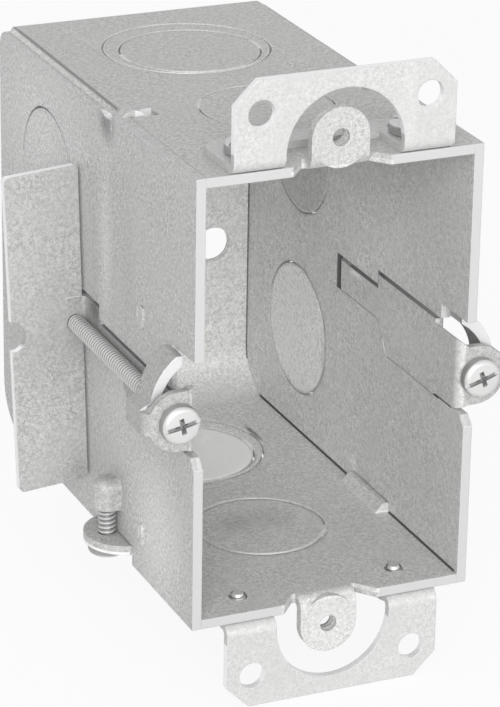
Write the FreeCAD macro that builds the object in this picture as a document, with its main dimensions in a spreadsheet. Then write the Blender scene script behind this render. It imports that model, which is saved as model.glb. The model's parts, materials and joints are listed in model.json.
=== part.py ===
import FreeCAD, Part
import math
import os
import Sketcher

# Gangable sheet-steel switch box for one wiring device, millimetres.
# Frame: +Z up, the open front faces -Y, X = 0 and Z = 0 are the middle planes.
# The origin is midway between the two device tab holes, on the tabs' front face.

doc = FreeCAD.newDocument("switch_box")
sheet = doc.addObject("Spreadsheet::Sheet", "Sizes")

DRIVING_SIZES = {
    # Box shell
    "box_wide": 48.8,
    "box_high": 76.2,
    "box_deep": 88.9,
    "gauge": 1.6,
    "rear_top_bend": 4.5,
    "rear_bottom_bend": 9.5,
    "side_step": 1.0,
    # Device tabs and the notch in the front edge beside them
    "tab_setback": 0.8,
    "tab_rise": 3.57,
    "tab_half_wide": 4.95,
    "tab_bend": 0.8,
    "tab_hole_radius": 1.45,
    "tab_lip_radius": 2.35,
    "tab_lip_long": 1.1,
    "notch_half_wide": 8.3,
    "notch_root_half": 5.6,
    # Knockouts: ring slots with ties
    "slot_wide": 0.35,
    "tie_wide": 4.5,
    "cable_ring": 11.1,
    "pipe_ring": 14.3,
    "pipe_inner_ring": 12.0,
    "pipe_inner_shift": 1.6,
    "side_ring": 12.0,
    "front_ring_back": 29.0,
    "rear_ring_back": 63.0,
    "side_ring_back": 65.3,
    "side_ring_up": 17.2,
    "back_ring_up": 12.0,
    "back_hole_radius": 3.3,
    "back_hole_out": 15.8,
    "back_hole_down": 8.0,
    # Screws
    "shank_radius": 1.5,
    "screw_clearance": 0.05,
    "head_radius": 3.25,
    "head_high": 2.1,
    "head_edge_high": 1.1,
    "head_shoulder": 0.9,
    "recess_wide": 1.1,
    "recess_reach": 2.0,
    "recess_deep": 1.0,
    "tip_chamfer": 0.5,
    # Adjustable ears
    "ear_gauge": 1.3,
    "ear_lead": 1.0,
    "ear_half_wide": 18.7,
    "ear_rise": 15.0,
    "ear_corner_in": 3.9,
    "ear_corner_down": 3.9,
    "ear_bend": 0.7,
    "ear_foot_back": 13.0,
    "ear_foot_corner": 2.3,
    "ear_arch_rise": 2.2,
    "ear_arch_back": 8.2,
    "ear_arch_radius": 10.0,
    "ear_hole_radius": 2.25,
    "ear_hole_out": 14.2,
    "ear_hole_rise": 9.5,
    "ear_travel_out": 3.0,
    "ear_travel_in": 0.8,
    "ear_slot_play": 0.5,
    "ear_seat_gap": 0.1,
    "ear_screw_out": 14.0,
    "ear_screw_back": 5.8,
    "ear_screw_long": 3.7,
    # Hook at mid-depth on the side plate's top edge
    "hook_back": 33.0,
    "hook_wide": 2.6,
    "hook_radius": 2.4,
    "hook_up": 1.0,
    "hook_tip_past": 0.4,
    "hook_slot_wide": 3.6,
    "hook_slot_in": 5.0,
    # Gang screw below, its tongue on the box and the formed pocket in the side plate
    "gang_back": 33.3,
    "gang_past_wall": 1.6,
    "gang_long": 9.6,
    "tongue_radius": 7.0,
    "tongue_play": 0.3,
    "joggle_in": 2.4,
    "joggle_run": 1.4,
    "joggle_skew": 0.73,
    "pocket_wall": 0.9,
    "pocket_up": 7.9,
    "pocket_high": 5.3,
    "pocket_round": 1.6,
    # Side clamp: arm, wing, lug and hood
    "clamp_gauge": 1.4,
    "clamp_down": 2.6,
    "strip_top": 5.5,
    "right_arm_top": 4.5,
    "left_arm_top": -0.7,
    "right_flank_top": 4.5,
    "left_flank_top": 2.6,
    "right_step_back": 33.0,
    "left_step_back": 41.0,
    "arm_bottom": 8.8,
    "arm_slope_back": 33.0,
    "arm_slope": 4.0,
    "neck_top": 2.0,
    "neck_bottom": 3.4,
    "arm_gap": 0.9,
    "wall_notch_top": 8.0,
    "wall_notch_bottom": 8.6,
    "wall_notch_back": 9.2,
    "wall_notch_chamfer": 1.6,
    "clamp_bend": 0.5,
    "wing_bend": 0.6,
    "lug_back": 2.6,
    "lug_half_high": 5.05,
    "lug_corner_in": 4.6,
    "lug_past_wall": 7.3,
    "neck_half_high": 1.9,
    "hood_front": 5.0,
    "hood_rear": 10.4,
    "hood_top": 7.4,
    "hood_foot_in": 2.0,
    "hood_foot_up": 1.0,
    "hood_foot_thick": 1.5,
    "hood_sweep": 10.5,
    "hood_tip": 1.0,
    "hood_tip_high": 1.7,
    "wing_back": 47.8,
    "wing_past_wall": 13.05,
    "wing_half_high": 27.5,
    "wing_lower": 0.65,
    "wing_stand_off": 0.4,
    "wing_lean": 0.35,
    "wing_drop": 0.4,
    "wing_corner": 0.9,
    "wing_tilt": 4.4,
    "wing_notch_radius": 2.6,
    "wing_notch_down": 1.05,
    "clamp_screw_past_wall": 1.6,
    "left_clamp_out": 0.0,
    "right_clamp_out": 0.45,
    "clamp_screw_over": 1.3,
    "lug_hole_radius": 1.75,
    # Small raised ovals on the side plate
    "oval_back": 21.8,
    "oval_up": 7.7,
    "oval_down": 30.7,
    "oval_half_wide": 0.8,
    "oval_half_high": 2.0,
    "oval_proud": 0.45,
}

for row, (alias, number) in enumerate(DRIVING_SIZES.items(), start=1):
    sheet.set("A%d" % row, alias)
    sheet.set("B%d" % row, str(number))
    sheet.setAlias("B%d" % row, alias)
doc.recompute()


class Size:
    """A length together with the sheet formula that gives it."""

    def __init__(self, number, formula):
        self.number = number
        self.formula = formula

    def __add__(self, other):
        other = as_size(other)
        return Size(self.number + other.number, "(%s + %s)" % (self.formula, other.formula))

    def __radd__(self, other):
        return as_size(other) + self

    def __sub__(self, other):
        other = as_size(other)
        return Size(self.number - other.number, "(%s - %s)" % (self.formula, other.formula))

    def __rsub__(self, other):
        return as_size(other) - self

    def __mul__(self, other):
        other = as_size(other)
        return Size(self.number * other.number, "(%s * %s)" % (self.formula, other.formula))

    def __rmul__(self, other):
        return as_size(other) * self

    def __truediv__(self, other):
        other = as_size(other)
        return Size(self.number / other.number, "(%s / %s)" % (self.formula, other.formula))

    def __neg__(self):
        return self * -1


def as_size(value):
    """A plain number as a Size."""
    if isinstance(value, Size):
        return value
    return Size(float(value), "(%s)" % repr(float(value)))


def size(alias):
    """The Size held by one cell of the sheet."""
    return Size(float(sheet.get(alias)), "Sizes." + alias)


# Derived places that several pieces share
half_high = size("box_high") / 2
half_wide = size("box_wide") / 2
gauge = size("gauge")
wrap_half = half_wide - gauge
rim = -size("tab_setback")
rear = rim + size("box_deep")
fit_radius = size("shank_radius") + size("screw_clearance")
clamp_mid = -size("clamp_down")
clamp_screw_out = half_wide + size("clamp_screw_past_wall")
gang_out = half_wide + size("gang_past_wall")
tongue_low = gauge - half_high

# How far a cut or its outline runs past the surfaces it has to clear
PAST = 1.0


def new_body(label):
    """A part-design body with its own label."""
    body = doc.addObject("PartDesign::Body", label)
    body.Label = label
    return body


def new_sketch(body, role, name, offset=0.0, tilt=None):
    """A sketch on one of the body's origin planes, moved along the normal and tilted about its x."""
    sketch = body.newObject("Sketcher::SketchObject", name)
    for plane in body.Origin.OriginFeatures:
        if plane.Role == role:
            sketch.AttachmentSupport = [(plane, "")]
    sketch.MapMode = "FlatFace"
    if tilt is not None:
        turn = FreeCAD.Rotation(FreeCAD.Vector(1, 0, 0), tilt.number)
        sketch.AttachmentOffset = FreeCAD.Placement(FreeCAD.Vector(0, 0, 0), turn)
        sketch.setExpression("AttachmentOffset.Rotation.Angle", tilt.formula)
    sketch.setExpression("AttachmentOffset.Base.z", as_size(offset).formula)
    doc.recompute()
    return sketch


def tie(sketch, kind, references, value):
    """A constraint whose value follows the sheet."""
    value = as_size(value)
    index = sketch.addConstraint(Sketcher.Constraint(kind, *references, value.number))
    sketch.setExpression("Constraints[%d]" % index, value.formula)


def arc_between(start, end, radius, turn):
    """An arc under half a turn from start to end: turn 1 is anticlockwise, -1 clockwise."""
    half = (end - start) * 0.5
    height = math.sqrt(max(radius * radius - half.Length * half.Length, 0.0))
    left = FreeCAD.Vector(-half.y, half.x, 0).normalize()
    centre = start + half + left * (height * turn)
    first = start - centre if turn > 0 else end - centre
    last = end - centre if turn > 0 else start - centre
    angles = [math.atan2(first.y, first.x), math.atan2(last.y, last.x)]
    if angles[1] < angles[0]:
        angles[1] += 2 * math.pi
    circle = Part.Circle(centre, FreeCAD.Vector(0, 0, 1), radius)
    return Part.ArcOfCircle(circle, angles[0], angles[1])


def outline(sketch, steps):
    """A closed outline. Each step is (x, y), reached by a line, or (x, y, radius, turn), by an arc."""
    places = [FreeCAD.Vector(as_size(step[0]).number, as_size(step[1]).number, 0) for step in steps]
    pieces = []
    for index, step in enumerate(steps):
        start, end = places[index - 1], places[index]
        if len(step) == 2:
            geometry = sketch.addGeometry(Part.LineSegment(start, end), False)
            pieces.append((geometry, 1, 2))
        else:
            radius, turn = as_size(step[2]), step[3]
            geometry = sketch.addGeometry(arc_between(start, end, radius.number, turn), False)
            pieces.append((geometry, 1, 2) if turn > 0 else (geometry, 2, 1))
    for index, step in enumerate(steps):
        geometry, _, end = pieces[index]
        following, start, _ = pieces[(index + 1) % len(pieces)]
        sketch.addConstraint(Sketcher.Constraint("Coincident", geometry, end, following, start))
        tie(sketch, "DistanceX", (-1, 1, geometry, end), step[0])
        tie(sketch, "DistanceY", (-1, 1, geometry, end), step[1])
        if len(step) > 2:
            tie(sketch, "Radius", (geometry,), step[2])


def rectangle(sketch, x0, x1, y0, y1):
    """A rectangle between two corners."""
    outline(sketch, [(x1, y0), (x1, y1), (x0, y1), (x0, y0)])


def disc(sketch, x, y, radius):
    """A full circle."""
    centre = FreeCAD.Vector(as_size(x).number, as_size(y).number, 0)
    circle = Part.Circle(centre, FreeCAD.Vector(0, 0, 1), as_size(radius).number)
    geometry = sketch.addGeometry(circle, False)
    tie(sketch, "DistanceX", (-1, 1, geometry, 3), x)
    tie(sketch, "DistanceY", (-1, 1, geometry, 3), y)
    tie(sketch, "Radius", (geometry,), radius)


def stadium(sketch, x, y, half_wide_size, half_long, upright):
    """A slot outline with round ends, its length along the sketch's y when upright."""
    r, run = as_size(half_wide_size), as_size(half_long) - half_wide_size
    if upright:
        steps = [(x + r, y + run), (x, y + run + r, r, 1), (x - r, y + run, r, 1),
                 (x - r, y - run), (x, y - run - r, r, 1), (x + r, y - run, r, 1)]
    else:
        steps = [(x - run, y + r), (x - run - r, y, r, 1), (x - run, y - r, r, 1),
                 (x + run, y - r), (x + run + r, y, r, 1), (x + run, y + r, r, 1)]
    outline(sketch, steps)


def ring_slots(sketch, x, y, radius, tie_angles):
    """Narrow arc slots along a circle, broken by a tie at each of the given angles in degrees."""
    x, y, radius = as_size(x).number, as_size(y).number, as_size(radius).number
    inner = radius - size("slot_wide").number / 2
    outer = radius + size("slot_wide").number / 2
    half_tie = size("tie_wide").number / 2 / radius
    centre = FreeCAD.Vector(x, y, 0)
    ties = [math.radians(angle) for angle in sorted(tie_angles)]
    for index, angle in enumerate(ties):
        following = ties[(index + 1) % len(ties)] + (2 * math.pi if index + 1 == len(ties) else 0.0)
        first, last = angle + half_tie, following - half_tie
        corners = [centre + FreeCAD.Vector(reach * math.cos(turn), reach * math.sin(turn), 0)
                   for reach, turn in ((inner, first), (outer, first), (outer, last), (inner, last))]
        for reach in (inner, outer):
            circle = Part.Circle(centre, FreeCAD.Vector(0, 0, 1), reach)
            arc = sketch.addGeometry(Part.ArcOfCircle(circle, first, last), False)
            sketch.addConstraint(Sketcher.Constraint("Block", arc))
        for start, end in ((corners[0], corners[1]), (corners[2], corners[3])):
            line = sketch.addGeometry(Part.LineSegment(start, end), False)
            sketch.addConstraint(Sketcher.Constraint("Block", line))


def feature(body, kind, name, sketch, length, reverse):
    """A pad or a pocket of one sketch, checked to change the solid."""
    before = body.Shape.Volume if not body.Shape.isNull() else 0.0
    item = body.newObject("PartDesign::" + kind, name)
    item.Profile = sketch
    item.Reversed = reverse
    item.setExpression("Length", as_size(length).formula)
    doc.recompute()
    change = body.Shape.Volume - before
    if (kind == "Pad") != (change > 0) or abs(change) < 1e-6:
        raise RuntimeError("%s in %s changes the volume by %.4f" % (name, body.Label, change))
    return item


def pad(body, name, sketch, length, reverse=False):
    """Material from the sketch along its plane's normal, or against it when reversed."""
    return feature(body, "Pad", name, sketch, length, reverse)


def pocket(body, name, sketch, length, reverse=False):
    """A cut from the sketch against its plane's normal, or along it when reversed."""
    return feature(body, "Pocket", name, sketch, length, reverse)


# Box body: top, back and bottom folded from one sheet

def make_box_body():
    """The wrap with its tabs, tongues, knockouts and holes."""
    body = new_body("box_body")
    above, below = size("rear_top_bend"), size("rear_bottom_bend")
    section = new_sketch(body, "YZ_Plane", "wrap_section", -wrap_half)
    outline(section, [
        (rear - above, half_high),
        (rear, half_high - above, above, -1),
        (rear, below - half_high),
        (rear - below, -half_high, below, -1),
        (rim, -half_high),
        (rim, gauge - half_high),
        (rear - below, gauge - half_high),
        (rear - gauge, below - half_high, below - gauge, 1),
        (rear - gauge, half_high - above),
        (rear - above, half_high - gauge, above - gauge, 1),
        (rim, half_high - gauge),
        (rim, half_high),
    ])
    pad(body, "wrap", section, wrap_half * 2)

    over = half_high + gauge
    through = over * 2
    notch = new_sketch(body, "XY_Plane", "front_notch_outline", over)
    notch_back = size("tab_bend") + gauge
    before_rim = rim - gauge
    outline(notch, [
        (size("notch_half_wide"), before_rim),
        (size("notch_half_wide"), rim),
        (size("notch_root_half"), notch_back),
        (-size("notch_root_half"), notch_back),
        (-size("notch_half_wide"), rim),
        (-size("notch_half_wide"), before_rim),
    ])
    pocket(body, "front_notch", notch, through)

    for side, place in ((1, "top"), (-1, "bottom")):
        make_device_tab(body, side, place)
    make_tongues(body)

    screw_holes = new_sketch(body, "XY_Plane", "ear_screw_hole_outline", over)
    for out in (1, -1):
        disc(screw_holes, size("ear_screw_out") * out, rim + size("ear_screw_back"), fit_radius)
    pocket(body, "ear_screw_holes", screw_holes, through)

    hooks = new_sketch(body, "XY_Plane", "hook_slot_outline", over)
    hook_front = rim + size("hook_back") - size("hook_slot_wide") / 2
    for out in (1, -1):
        x0, x1 = sorted(((wrap_half - size("hook_slot_in")) * out, (wrap_half + gauge) * out),
                        key=lambda edge: edge.number)
        rectangle(hooks, x0, x1, hook_front, hook_front + size("hook_slot_wide"))
    pocket(body, "hook_slots", hooks, gauge * 2 + PAST)

    rings = new_sketch(body, "XY_Plane", "plate_knockout_outline", over)
    ring_slots(rings, 0, rim + size("front_ring_back"), size("cable_ring"), (150, 330))
    ring_slots(rings, 0, rim + size("rear_ring_back"), size("pipe_ring"), (90, 270))
    ring_slots(rings, 0, rim + size("rear_ring_back") - size("pipe_inner_shift"),
               size("pipe_inner_ring"), (0, 180))
    pocket(body, "plate_knockouts", rings, through)

    back = new_sketch(body, "XZ_Plane", "back_opening_outline", -rear - PAST)
    ring_slots(back, 0, size("back_ring_up"), size("cable_ring"), (90, 270))
    for out in (1, -1):
        disc(back, size("back_hole_out") * out, -size("back_hole_down"), size("back_hole_radius"))
    pocket(body, "back_openings", back, gauge + PAST * 2, reverse=True)
    return body


def make_device_tab(body, side, place):
    """One threaded tab, bent out of the plate's front edge. side is 1 above and -1 below."""
    bend, outer = size("tab_bend"), size("tab_bend") + gauge
    up = half_high + size("tab_rise")
    fold = new_sketch(body, "YZ_Plane", place + "_tab_section", -size("tab_half_wide"))
    outline(fold, [
        (outer, (half_high - gauge) * side),
        (0, (half_high + bend) * side, outer, -side),
        (0, up * side),
        (gauge, up * side),
        (gauge, (half_high + bend) * side),
        (outer, half_high * side, bend, side),
    ])
    pad(body, place + "_tab_fold", fold, size("tab_half_wide") * 2)

    end = new_sketch(body, "XZ_Plane", place + "_tab_end_outline", 0)
    disc(end, 0, up * side, size("tab_half_wide"))
    pad(body, place + "_tab_end", end, gauge, reverse=True)

    lip = new_sketch(body, "XZ_Plane", place + "_tab_lip_outline", -gauge)
    disc(lip, 0, up * side, size("tab_lip_radius"))
    pad(body, place + "_tab_lip", lip, size("tab_lip_long"), reverse=True)

    hole = new_sketch(body, "XZ_Plane", place + "_tab_hole_outline", PAST)
    disc(hole, 0, up * side, size("tab_hole_radius"))
    pocket(body, place + "_tab_hole", hole, gauge + size("tab_lip_long") + PAST * 2)


def make_tongues(body):
    """Half-round tongues, stepped up by one gauge, that stand out over the gang screws' heads."""
    back, r, play = rim + size("gang_back"), size("tongue_radius"), size("tongue_play")
    foot = wrap_half - size("joggle_in")
    head = foot + size("joggle_run")
    root = foot - gauge
    relief = new_sketch(body, "XY_Plane", "joggle_relief_outline", tongue_low + PAST)
    for side in (1, -1):
        x0, x1 = sorted((foot * side, (wrap_half + PAST) * side), key=lambda edge: edge.number)
        rectangle(relief, x0, x1, back - r - play, back + r + play)
    pocket(body, "joggle_relief", relief, gauge + PAST * 2)

    joggle = new_sketch(body, "XZ_Plane", "joggle_section", r - back)
    for side in (1, -1):
        outline(joggle, [
            (root * side, -half_high),
            ((foot + size("joggle_skew")) * side, -half_high),
            ((head + size("joggle_skew")) * side, tongue_low),
            (wrap_half * side, tongue_low),
            (wrap_half * side, tongue_low + gauge),
            (head * side, tongue_low + gauge),
            (foot * side, tongue_low),
            (root * side, tongue_low),
        ])
    pad(body, "joggle", joggle, r * 2, reverse=True)

    tongues = new_sketch(body, "XY_Plane", "tongue_outline", tongue_low)
    for side in (1, -1):
        outline(tongues, [
            (head * side, back - r),
            (wrap_half * side, back - r),
            ((wrap_half + r) * side, back, r, side),
            (wrap_half * side, back + r, r, side),
            (head * side, back + r),
        ])
    pad(body, "tongues", tongues, gauge)
    holes = new_sketch(body, "XY_Plane", "tongue_hole_outline", tongue_low + gauge + PAST)
    for side in (1, -1):
        disc(holes, gang_out * side, back, fit_radius)
    pocket(body, "tongue_holes", holes, gauge + PAST * 2)


# Side plates: flat, with the hook, the clamp's window and the gang screw's pocket

def make_side_plate(label, hand):
    """A side plate on the left, with the window for the clamp of the given hand."""
    body = new_body(label)
    low = half_high - size("side_step")
    above = size("rear_top_bend") - size("side_step")
    below = size("rear_bottom_bend") - size("side_step")
    step_at = rim + size("hook_back") + size("hook_slot_wide") / 2
    plate = new_sketch(body, "YZ_Plane", "side_outline", -half_wide)
    outline(plate, [
        (rim, -half_high),
        (step_at, -half_high),
        (step_at, -low),
        (rear - below, -low),
        (rear, below - low, below, 1),
        (rear, low - above),
        (rear - above, low, above, 1),
        (step_at, low),
        (step_at, half_high),
        (rim, half_high),
    ])
    pad(body, "side_sheet", plate, gauge)
    make_clamp_window(body, hand)
    make_hook(body)
    make_gang_pocket(body)

    rings = new_sketch(body, "YZ_Plane", "side_knockout_outline", -half_wide - PAST)
    for side, angles in ((1, (195, 355)), (-1, (5, 185))):
        ring_slots(rings, rim + size("side_ring_back"), size("side_ring_up") * side,
                   size("side_ring"), angles)
    pocket(body, "side_knockouts", rings, gauge + PAST * 2, reverse=True)

    ovals = new_sketch(body, "YZ_Plane", "oval_outline", -half_wide)
    for height in (size("oval_up"), -size("oval_down")):
        stadium(ovals, rim + size("oval_back"), height, size("oval_half_wide"),
                size("oval_half_high"), upright=True)
    pad(body, "ovals", ovals, size("oval_proud"), reverse=True)
    return body


def make_clamp_window(body, hand):
    """The notch in the front edge and the stepped window behind it that hold the clamp."""
    window = new_sketch(body, "YZ_Plane", "window_outline", -half_wide - PAST)
    front, chamfer = rim - PAST, size("wall_notch_chamfer")
    notch_back = rim + size("wall_notch_back")
    slope_back = rim + size("arm_slope_back")
    step_back = rim + size(hand + "_step_back")
    arm_level = size(hand + "_arm_top") + size("arm_gap")
    neck_level = size("neck_top") + size("arm_gap")
    window_end = rim + size("wing_back") + size("clamp_gauge")
    bottom, notch_bottom = -size("arm_bottom"), -size("wall_notch_bottom")
    outline(window, [
        (front, notch_bottom - chamfer),
        (rim, notch_bottom - chamfer),
        (rim + chamfer, notch_bottom),
        (notch_back, notch_bottom),
        (notch_back, bottom),
        (slope_back - size("arm_slope"), bottom),
        (slope_back, -size("neck_bottom")),
        (window_end, -size("neck_bottom")),
        (window_end, neck_level),
        (step_back, neck_level),
        (step_back, arm_level),
        (notch_back, arm_level),
        (notch_back, size("wall_notch_top")),
        (front, size("wall_notch_top")),
    ])
    pocket(body, "window", window, gauge + PAST * 2, reverse=True)


def make_hook(body):
    """The hook bent over from the plate's top edge into the slot of the box's top."""
    r, inner = size("hook_radius"), size("hook_radius") - gauge
    middle = half_high + size("hook_up") - r
    near, front = -half_wide + r, rim + size("hook_back") - size("hook_wide") / 2
    tip = half_high - gauge - size("hook_tip_past")
    hook = new_sketch(body, "XZ_Plane", "hook_section", -front)
    outline(hook, [
        (-half_wide, middle),
        (near, middle + r, r, -1),
        (near + r, middle, r, -1),
        (near + r, tip),
        (near + inner, tip),
        (near + inner, middle),
        (near, middle + inner, inner, 1),
        (near - inner, middle, inner, 1),
        (near - inner, half_high - gauge * 2),
        (-half_wide, half_high - gauge * 2),
    ])
    pad(body, "hook", hook, size("hook_wide"), reverse=True)


def make_gang_pocket(body):
    """The notch over the box's tongue and the formed pocket that takes the gang screw's end."""
    back, out = rim + size("gang_back"), -gang_out
    play = size("tongue_play")
    half = size("tongue_radius") + play
    notch = new_sketch(body, "YZ_Plane", "gang_notch_outline", -half_wide - PAST)
    rectangle(notch, back - half, back + half, -half_high - PAST, tongue_low + gauge + play)
    pocket(body, "gang_notch", notch, gauge + PAST * 2, reverse=True)

    r, mouth = fit_radius + size("pocket_wall"), size("pocket_up") - half_high
    shell = new_sketch(body, "XY_Plane", "gang_pocket_outline", mouth)
    root = -half_wide + gauge / 2
    outline(shell, [(root, back + r), (out, back + r), (out - r, back, r, 1),
                    (out, back - r, r, 1), (root, back - r)])
    shell_pad = pad(body, "gang_pocket_shell", shell, size("pocket_high"))
    rim_edges = []
    top_level = mouth.number + size("pocket_high").number
    for index, edge in enumerate(shell_pad.Shape.Edges, start=1):
        box = edge.BoundBox
        level = abs(box.ZMin - top_level) < 1e-4 and abs(box.ZMax - top_level) < 1e-4
        if level and box.XMax < -half_wide.number + 1e-4 and box.XMin < -half_wide.number - 1e-3:
            rim_edges.append("Edge%d" % index)
    rounding = body.newObject("PartDesign::Fillet", "gang_pocket_round")
    rounding.Base = (shell_pad, rim_edges)
    rounding.setExpression("Radius", size("pocket_round").formula)
    doc.recompute()

    hollow = new_sketch(body, "XY_Plane", "gang_hollow_outline", mouth - PAST)
    disc(hollow, out, back, fit_radius)
    pocket(body, "gang_hollow", hollow, size("pocket_high") - size("pocket_wall") + PAST,
           reverse=True)


# Side clamps: one strip each, from the wing through the window to the lug and the hood

def make_clamp(label, hand):
    """A clamp on the left, its arm shaped for the given hand."""
    body = new_body(label)
    thick, bend, wing_bend = size("clamp_gauge"), size("clamp_bend"), size("wing_bend")
    outer_bend, outer_wing_bend = bend + thick, wing_bend + thick
    face = -half_wide + (gauge - thick) / 2
    skin = face + thick
    lug = rim + size("lug_back")
    wing = rim + size("wing_back")
    screw_out = clamp_screw_out + size(hand + "_clamp_out")
    reach = -half_wide - size("lug_past_wall") - size(hand + "_clamp_out")
    tail = rim + size("hood_rear")

    stub_end = face - wing_bend - thick * 2
    strip = new_sketch(body, "XY_Plane", "strip_section", -size("arm_bottom"))
    outline(strip, [
        (face, wing - wing_bend),
        (face - wing_bend, wing, wing_bend, 1),
        (stub_end, wing),
        (stub_end, wing + thick),
        (face - wing_bend, wing + thick),
        (skin, wing - wing_bend, outer_wing_bend, -1),
        (skin, lug + outer_bend),
        (skin - outer_bend, lug, outer_bend, -1),
        (reach + outer_bend, lug),
        (reach, lug + outer_bend, outer_bend, -1),
        (reach, tail),
        (reach + thick, tail),
        (reach + thick, lug + outer_bend),
        (reach + outer_bend, lug + thick, bend, 1),
        (skin - outer_bend, lug + thick),
        (face, lug + outer_bend, bend, 1),
    ])
    pad(body, "strip", strip, size("arm_bottom") + size("strip_top"))

    arm_cut = new_sketch(body, "YZ_Plane", "arm_cut_outline", stub_end - PAST)
    slope_back = rim + size("arm_slope_back")
    step_back = rim + size(hand + "_step_back")
    beyond = wing + thick + PAST
    below, above = -size("arm_bottom") - PAST, size("strip_top") + PAST
    outline(arm_cut, [
        (slope_back - size("arm_slope"), -size("arm_bottom")),
        (slope_back, -size("neck_bottom")),
        (beyond, -size("neck_bottom")),
        (beyond, below),
        (slope_back - size("arm_slope"), below),
    ])
    outline(arm_cut, [
        (lug + outer_bend, size(hand + "_arm_top")),
        (step_back, size(hand + "_arm_top")),
        (step_back, size("neck_top")),
        (beyond, size("neck_top")),
        (beyond, above),
        (lug + outer_bend, above),
    ])
    pocket(body, "arm_cut", arm_cut, skin - stub_end + PAST * 2, reverse=True)

    make_clamp_lug(body, lug, reach, skin, size(hand + "_flank_top"), screw_out)
    make_clamp_hood(body, reach)
    make_clamp_wing(body, wing)

    screw_hole = new_sketch(body, "XZ_Plane", "lug_hole_outline", -lug + PAST)
    disc(screw_hole, -screw_out, clamp_mid, size("lug_hole_radius"))
    pocket(body, "lug_hole", screw_hole, thick + PAST * 2)
    thread_hole = new_sketch(body, "XZ_Plane", "wing_hole_outline", -wing + PAST)
    disc(thread_hole, -screw_out, clamp_mid, fit_radius)
    pocket(body, "wing_hole", thread_hole, thick + PAST * 2)
    return body


def make_clamp_lug(body, lug, reach, skin, flank_top, screw_out):
    """Rounds the lug's outline and narrows it to the neck at its outer end."""
    half, neck = size("lug_half_high"), size("neck_half_high")
    cut = new_sketch(body, "XZ_Plane", "lug_cut_outline", -lug + PAST)
    outside, middle = reach - PAST, -screw_out
    corner = middle - size("lug_corner_in")
    inside, past_skin = skin - size("clamp_bend") - size("clamp_gauge"), skin + PAST
    top, bottom = size("strip_top") + PAST, -size("arm_bottom") - PAST
    outline(cut, [
        (outside, clamp_mid + neck),
        (corner, clamp_mid + neck),
        (middle, clamp_mid + half, half, -1),
        (inside, clamp_mid + half),
        (past_skin, flank_top),
        (past_skin, top),
        (outside, top),
    ])
    outline(cut, [
        (outside, bottom),
        (past_skin, bottom),
        (past_skin, -size("arm_bottom")),
        (inside, clamp_mid - half),
        (middle, clamp_mid - half),
        (corner, clamp_mid - neck, half, -1),
        (outside, clamp_mid - neck),
    ])
    pocket(body, "lug_cut", cut, size("hood_rear") - size("lug_back") + PAST * 2)


def make_clamp_hood(body, reach):
    """The leaf that turns up over the screw and leans on the wall."""
    thick, front = size("clamp_gauge"), rim + size("hood_front")
    hood = new_sketch(body, "XZ_Plane", "hood_section", -front)
    root_low, root_high = clamp_mid - size("neck_half_high"), clamp_mid + size("neck_half_high")
    foot, foot_up = reach + size("hood_foot_in"), size("hood_foot_up")
    sweep, low = size("hood_sweep"), size("hood_foot_thick") - thick * foot_up / size("hood_foot_in")
    outline(hood, [
        (reach, root_low),
        (reach, root_high),
        (foot, root_high + foot_up),
        (-half_wide - size("hood_tip"), size("hood_top"), sweep, -1),
        (-half_wide, size("hood_top")),
        (-half_wide, size("hood_top") - size("hood_tip_high")),
        (foot + thick, root_high + foot_up - low, sweep - thick, 1),
        (reach + thick, root_high - low),
        (reach + thick, root_low),
    ])
    pad(body, "hood", hood, size("hood_rear") - size("hood_front"), reverse=True)


def make_clamp_wing(body, wing):
    """The tall tilted plate that grips behind the wallboard, with a round notch in its outer edge."""
    half, drop = size("wing_half_high"), size("wing_drop")
    inner, outer = -half_wide - size("wing_stand_off"), -half_wide - size("wing_past_wall")
    top, bottom = clamp_mid + half - size("wing_lower"), clamp_mid - half - size("wing_lower")
    r, lean, corner = size("wing_notch_radius"), size("wing_lean"), size("wing_corner")
    notch_mid = clamp_mid - size("wing_notch_down")
    plate = new_sketch(body, "XZ_Plane", "wing_outline", -wing, -size("wing_tilt"))
    outline(plate, [
        (inner - corner, bottom + drop),
        (inner, bottom + drop + corner, corner, 1),
        (inner, top + drop - corner),
        (inner - corner, top + drop, corner, 1),
        (outer - lean + corner, top - drop),
        (outer - lean, top - drop - corner, corner, 1),
        (outer, notch_mid + r),
        (outer + r, notch_mid, r, -1),
        (outer, notch_mid - r, r, -1),
        (outer + lean, bottom - drop + corner),
        (outer + lean + corner, bottom - drop, corner, 1),
    ])
    pad(body, "wing", plate, size("clamp_gauge"), reverse=True)


# Ears: angle plates that slide on the top and bottom of the box

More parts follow.
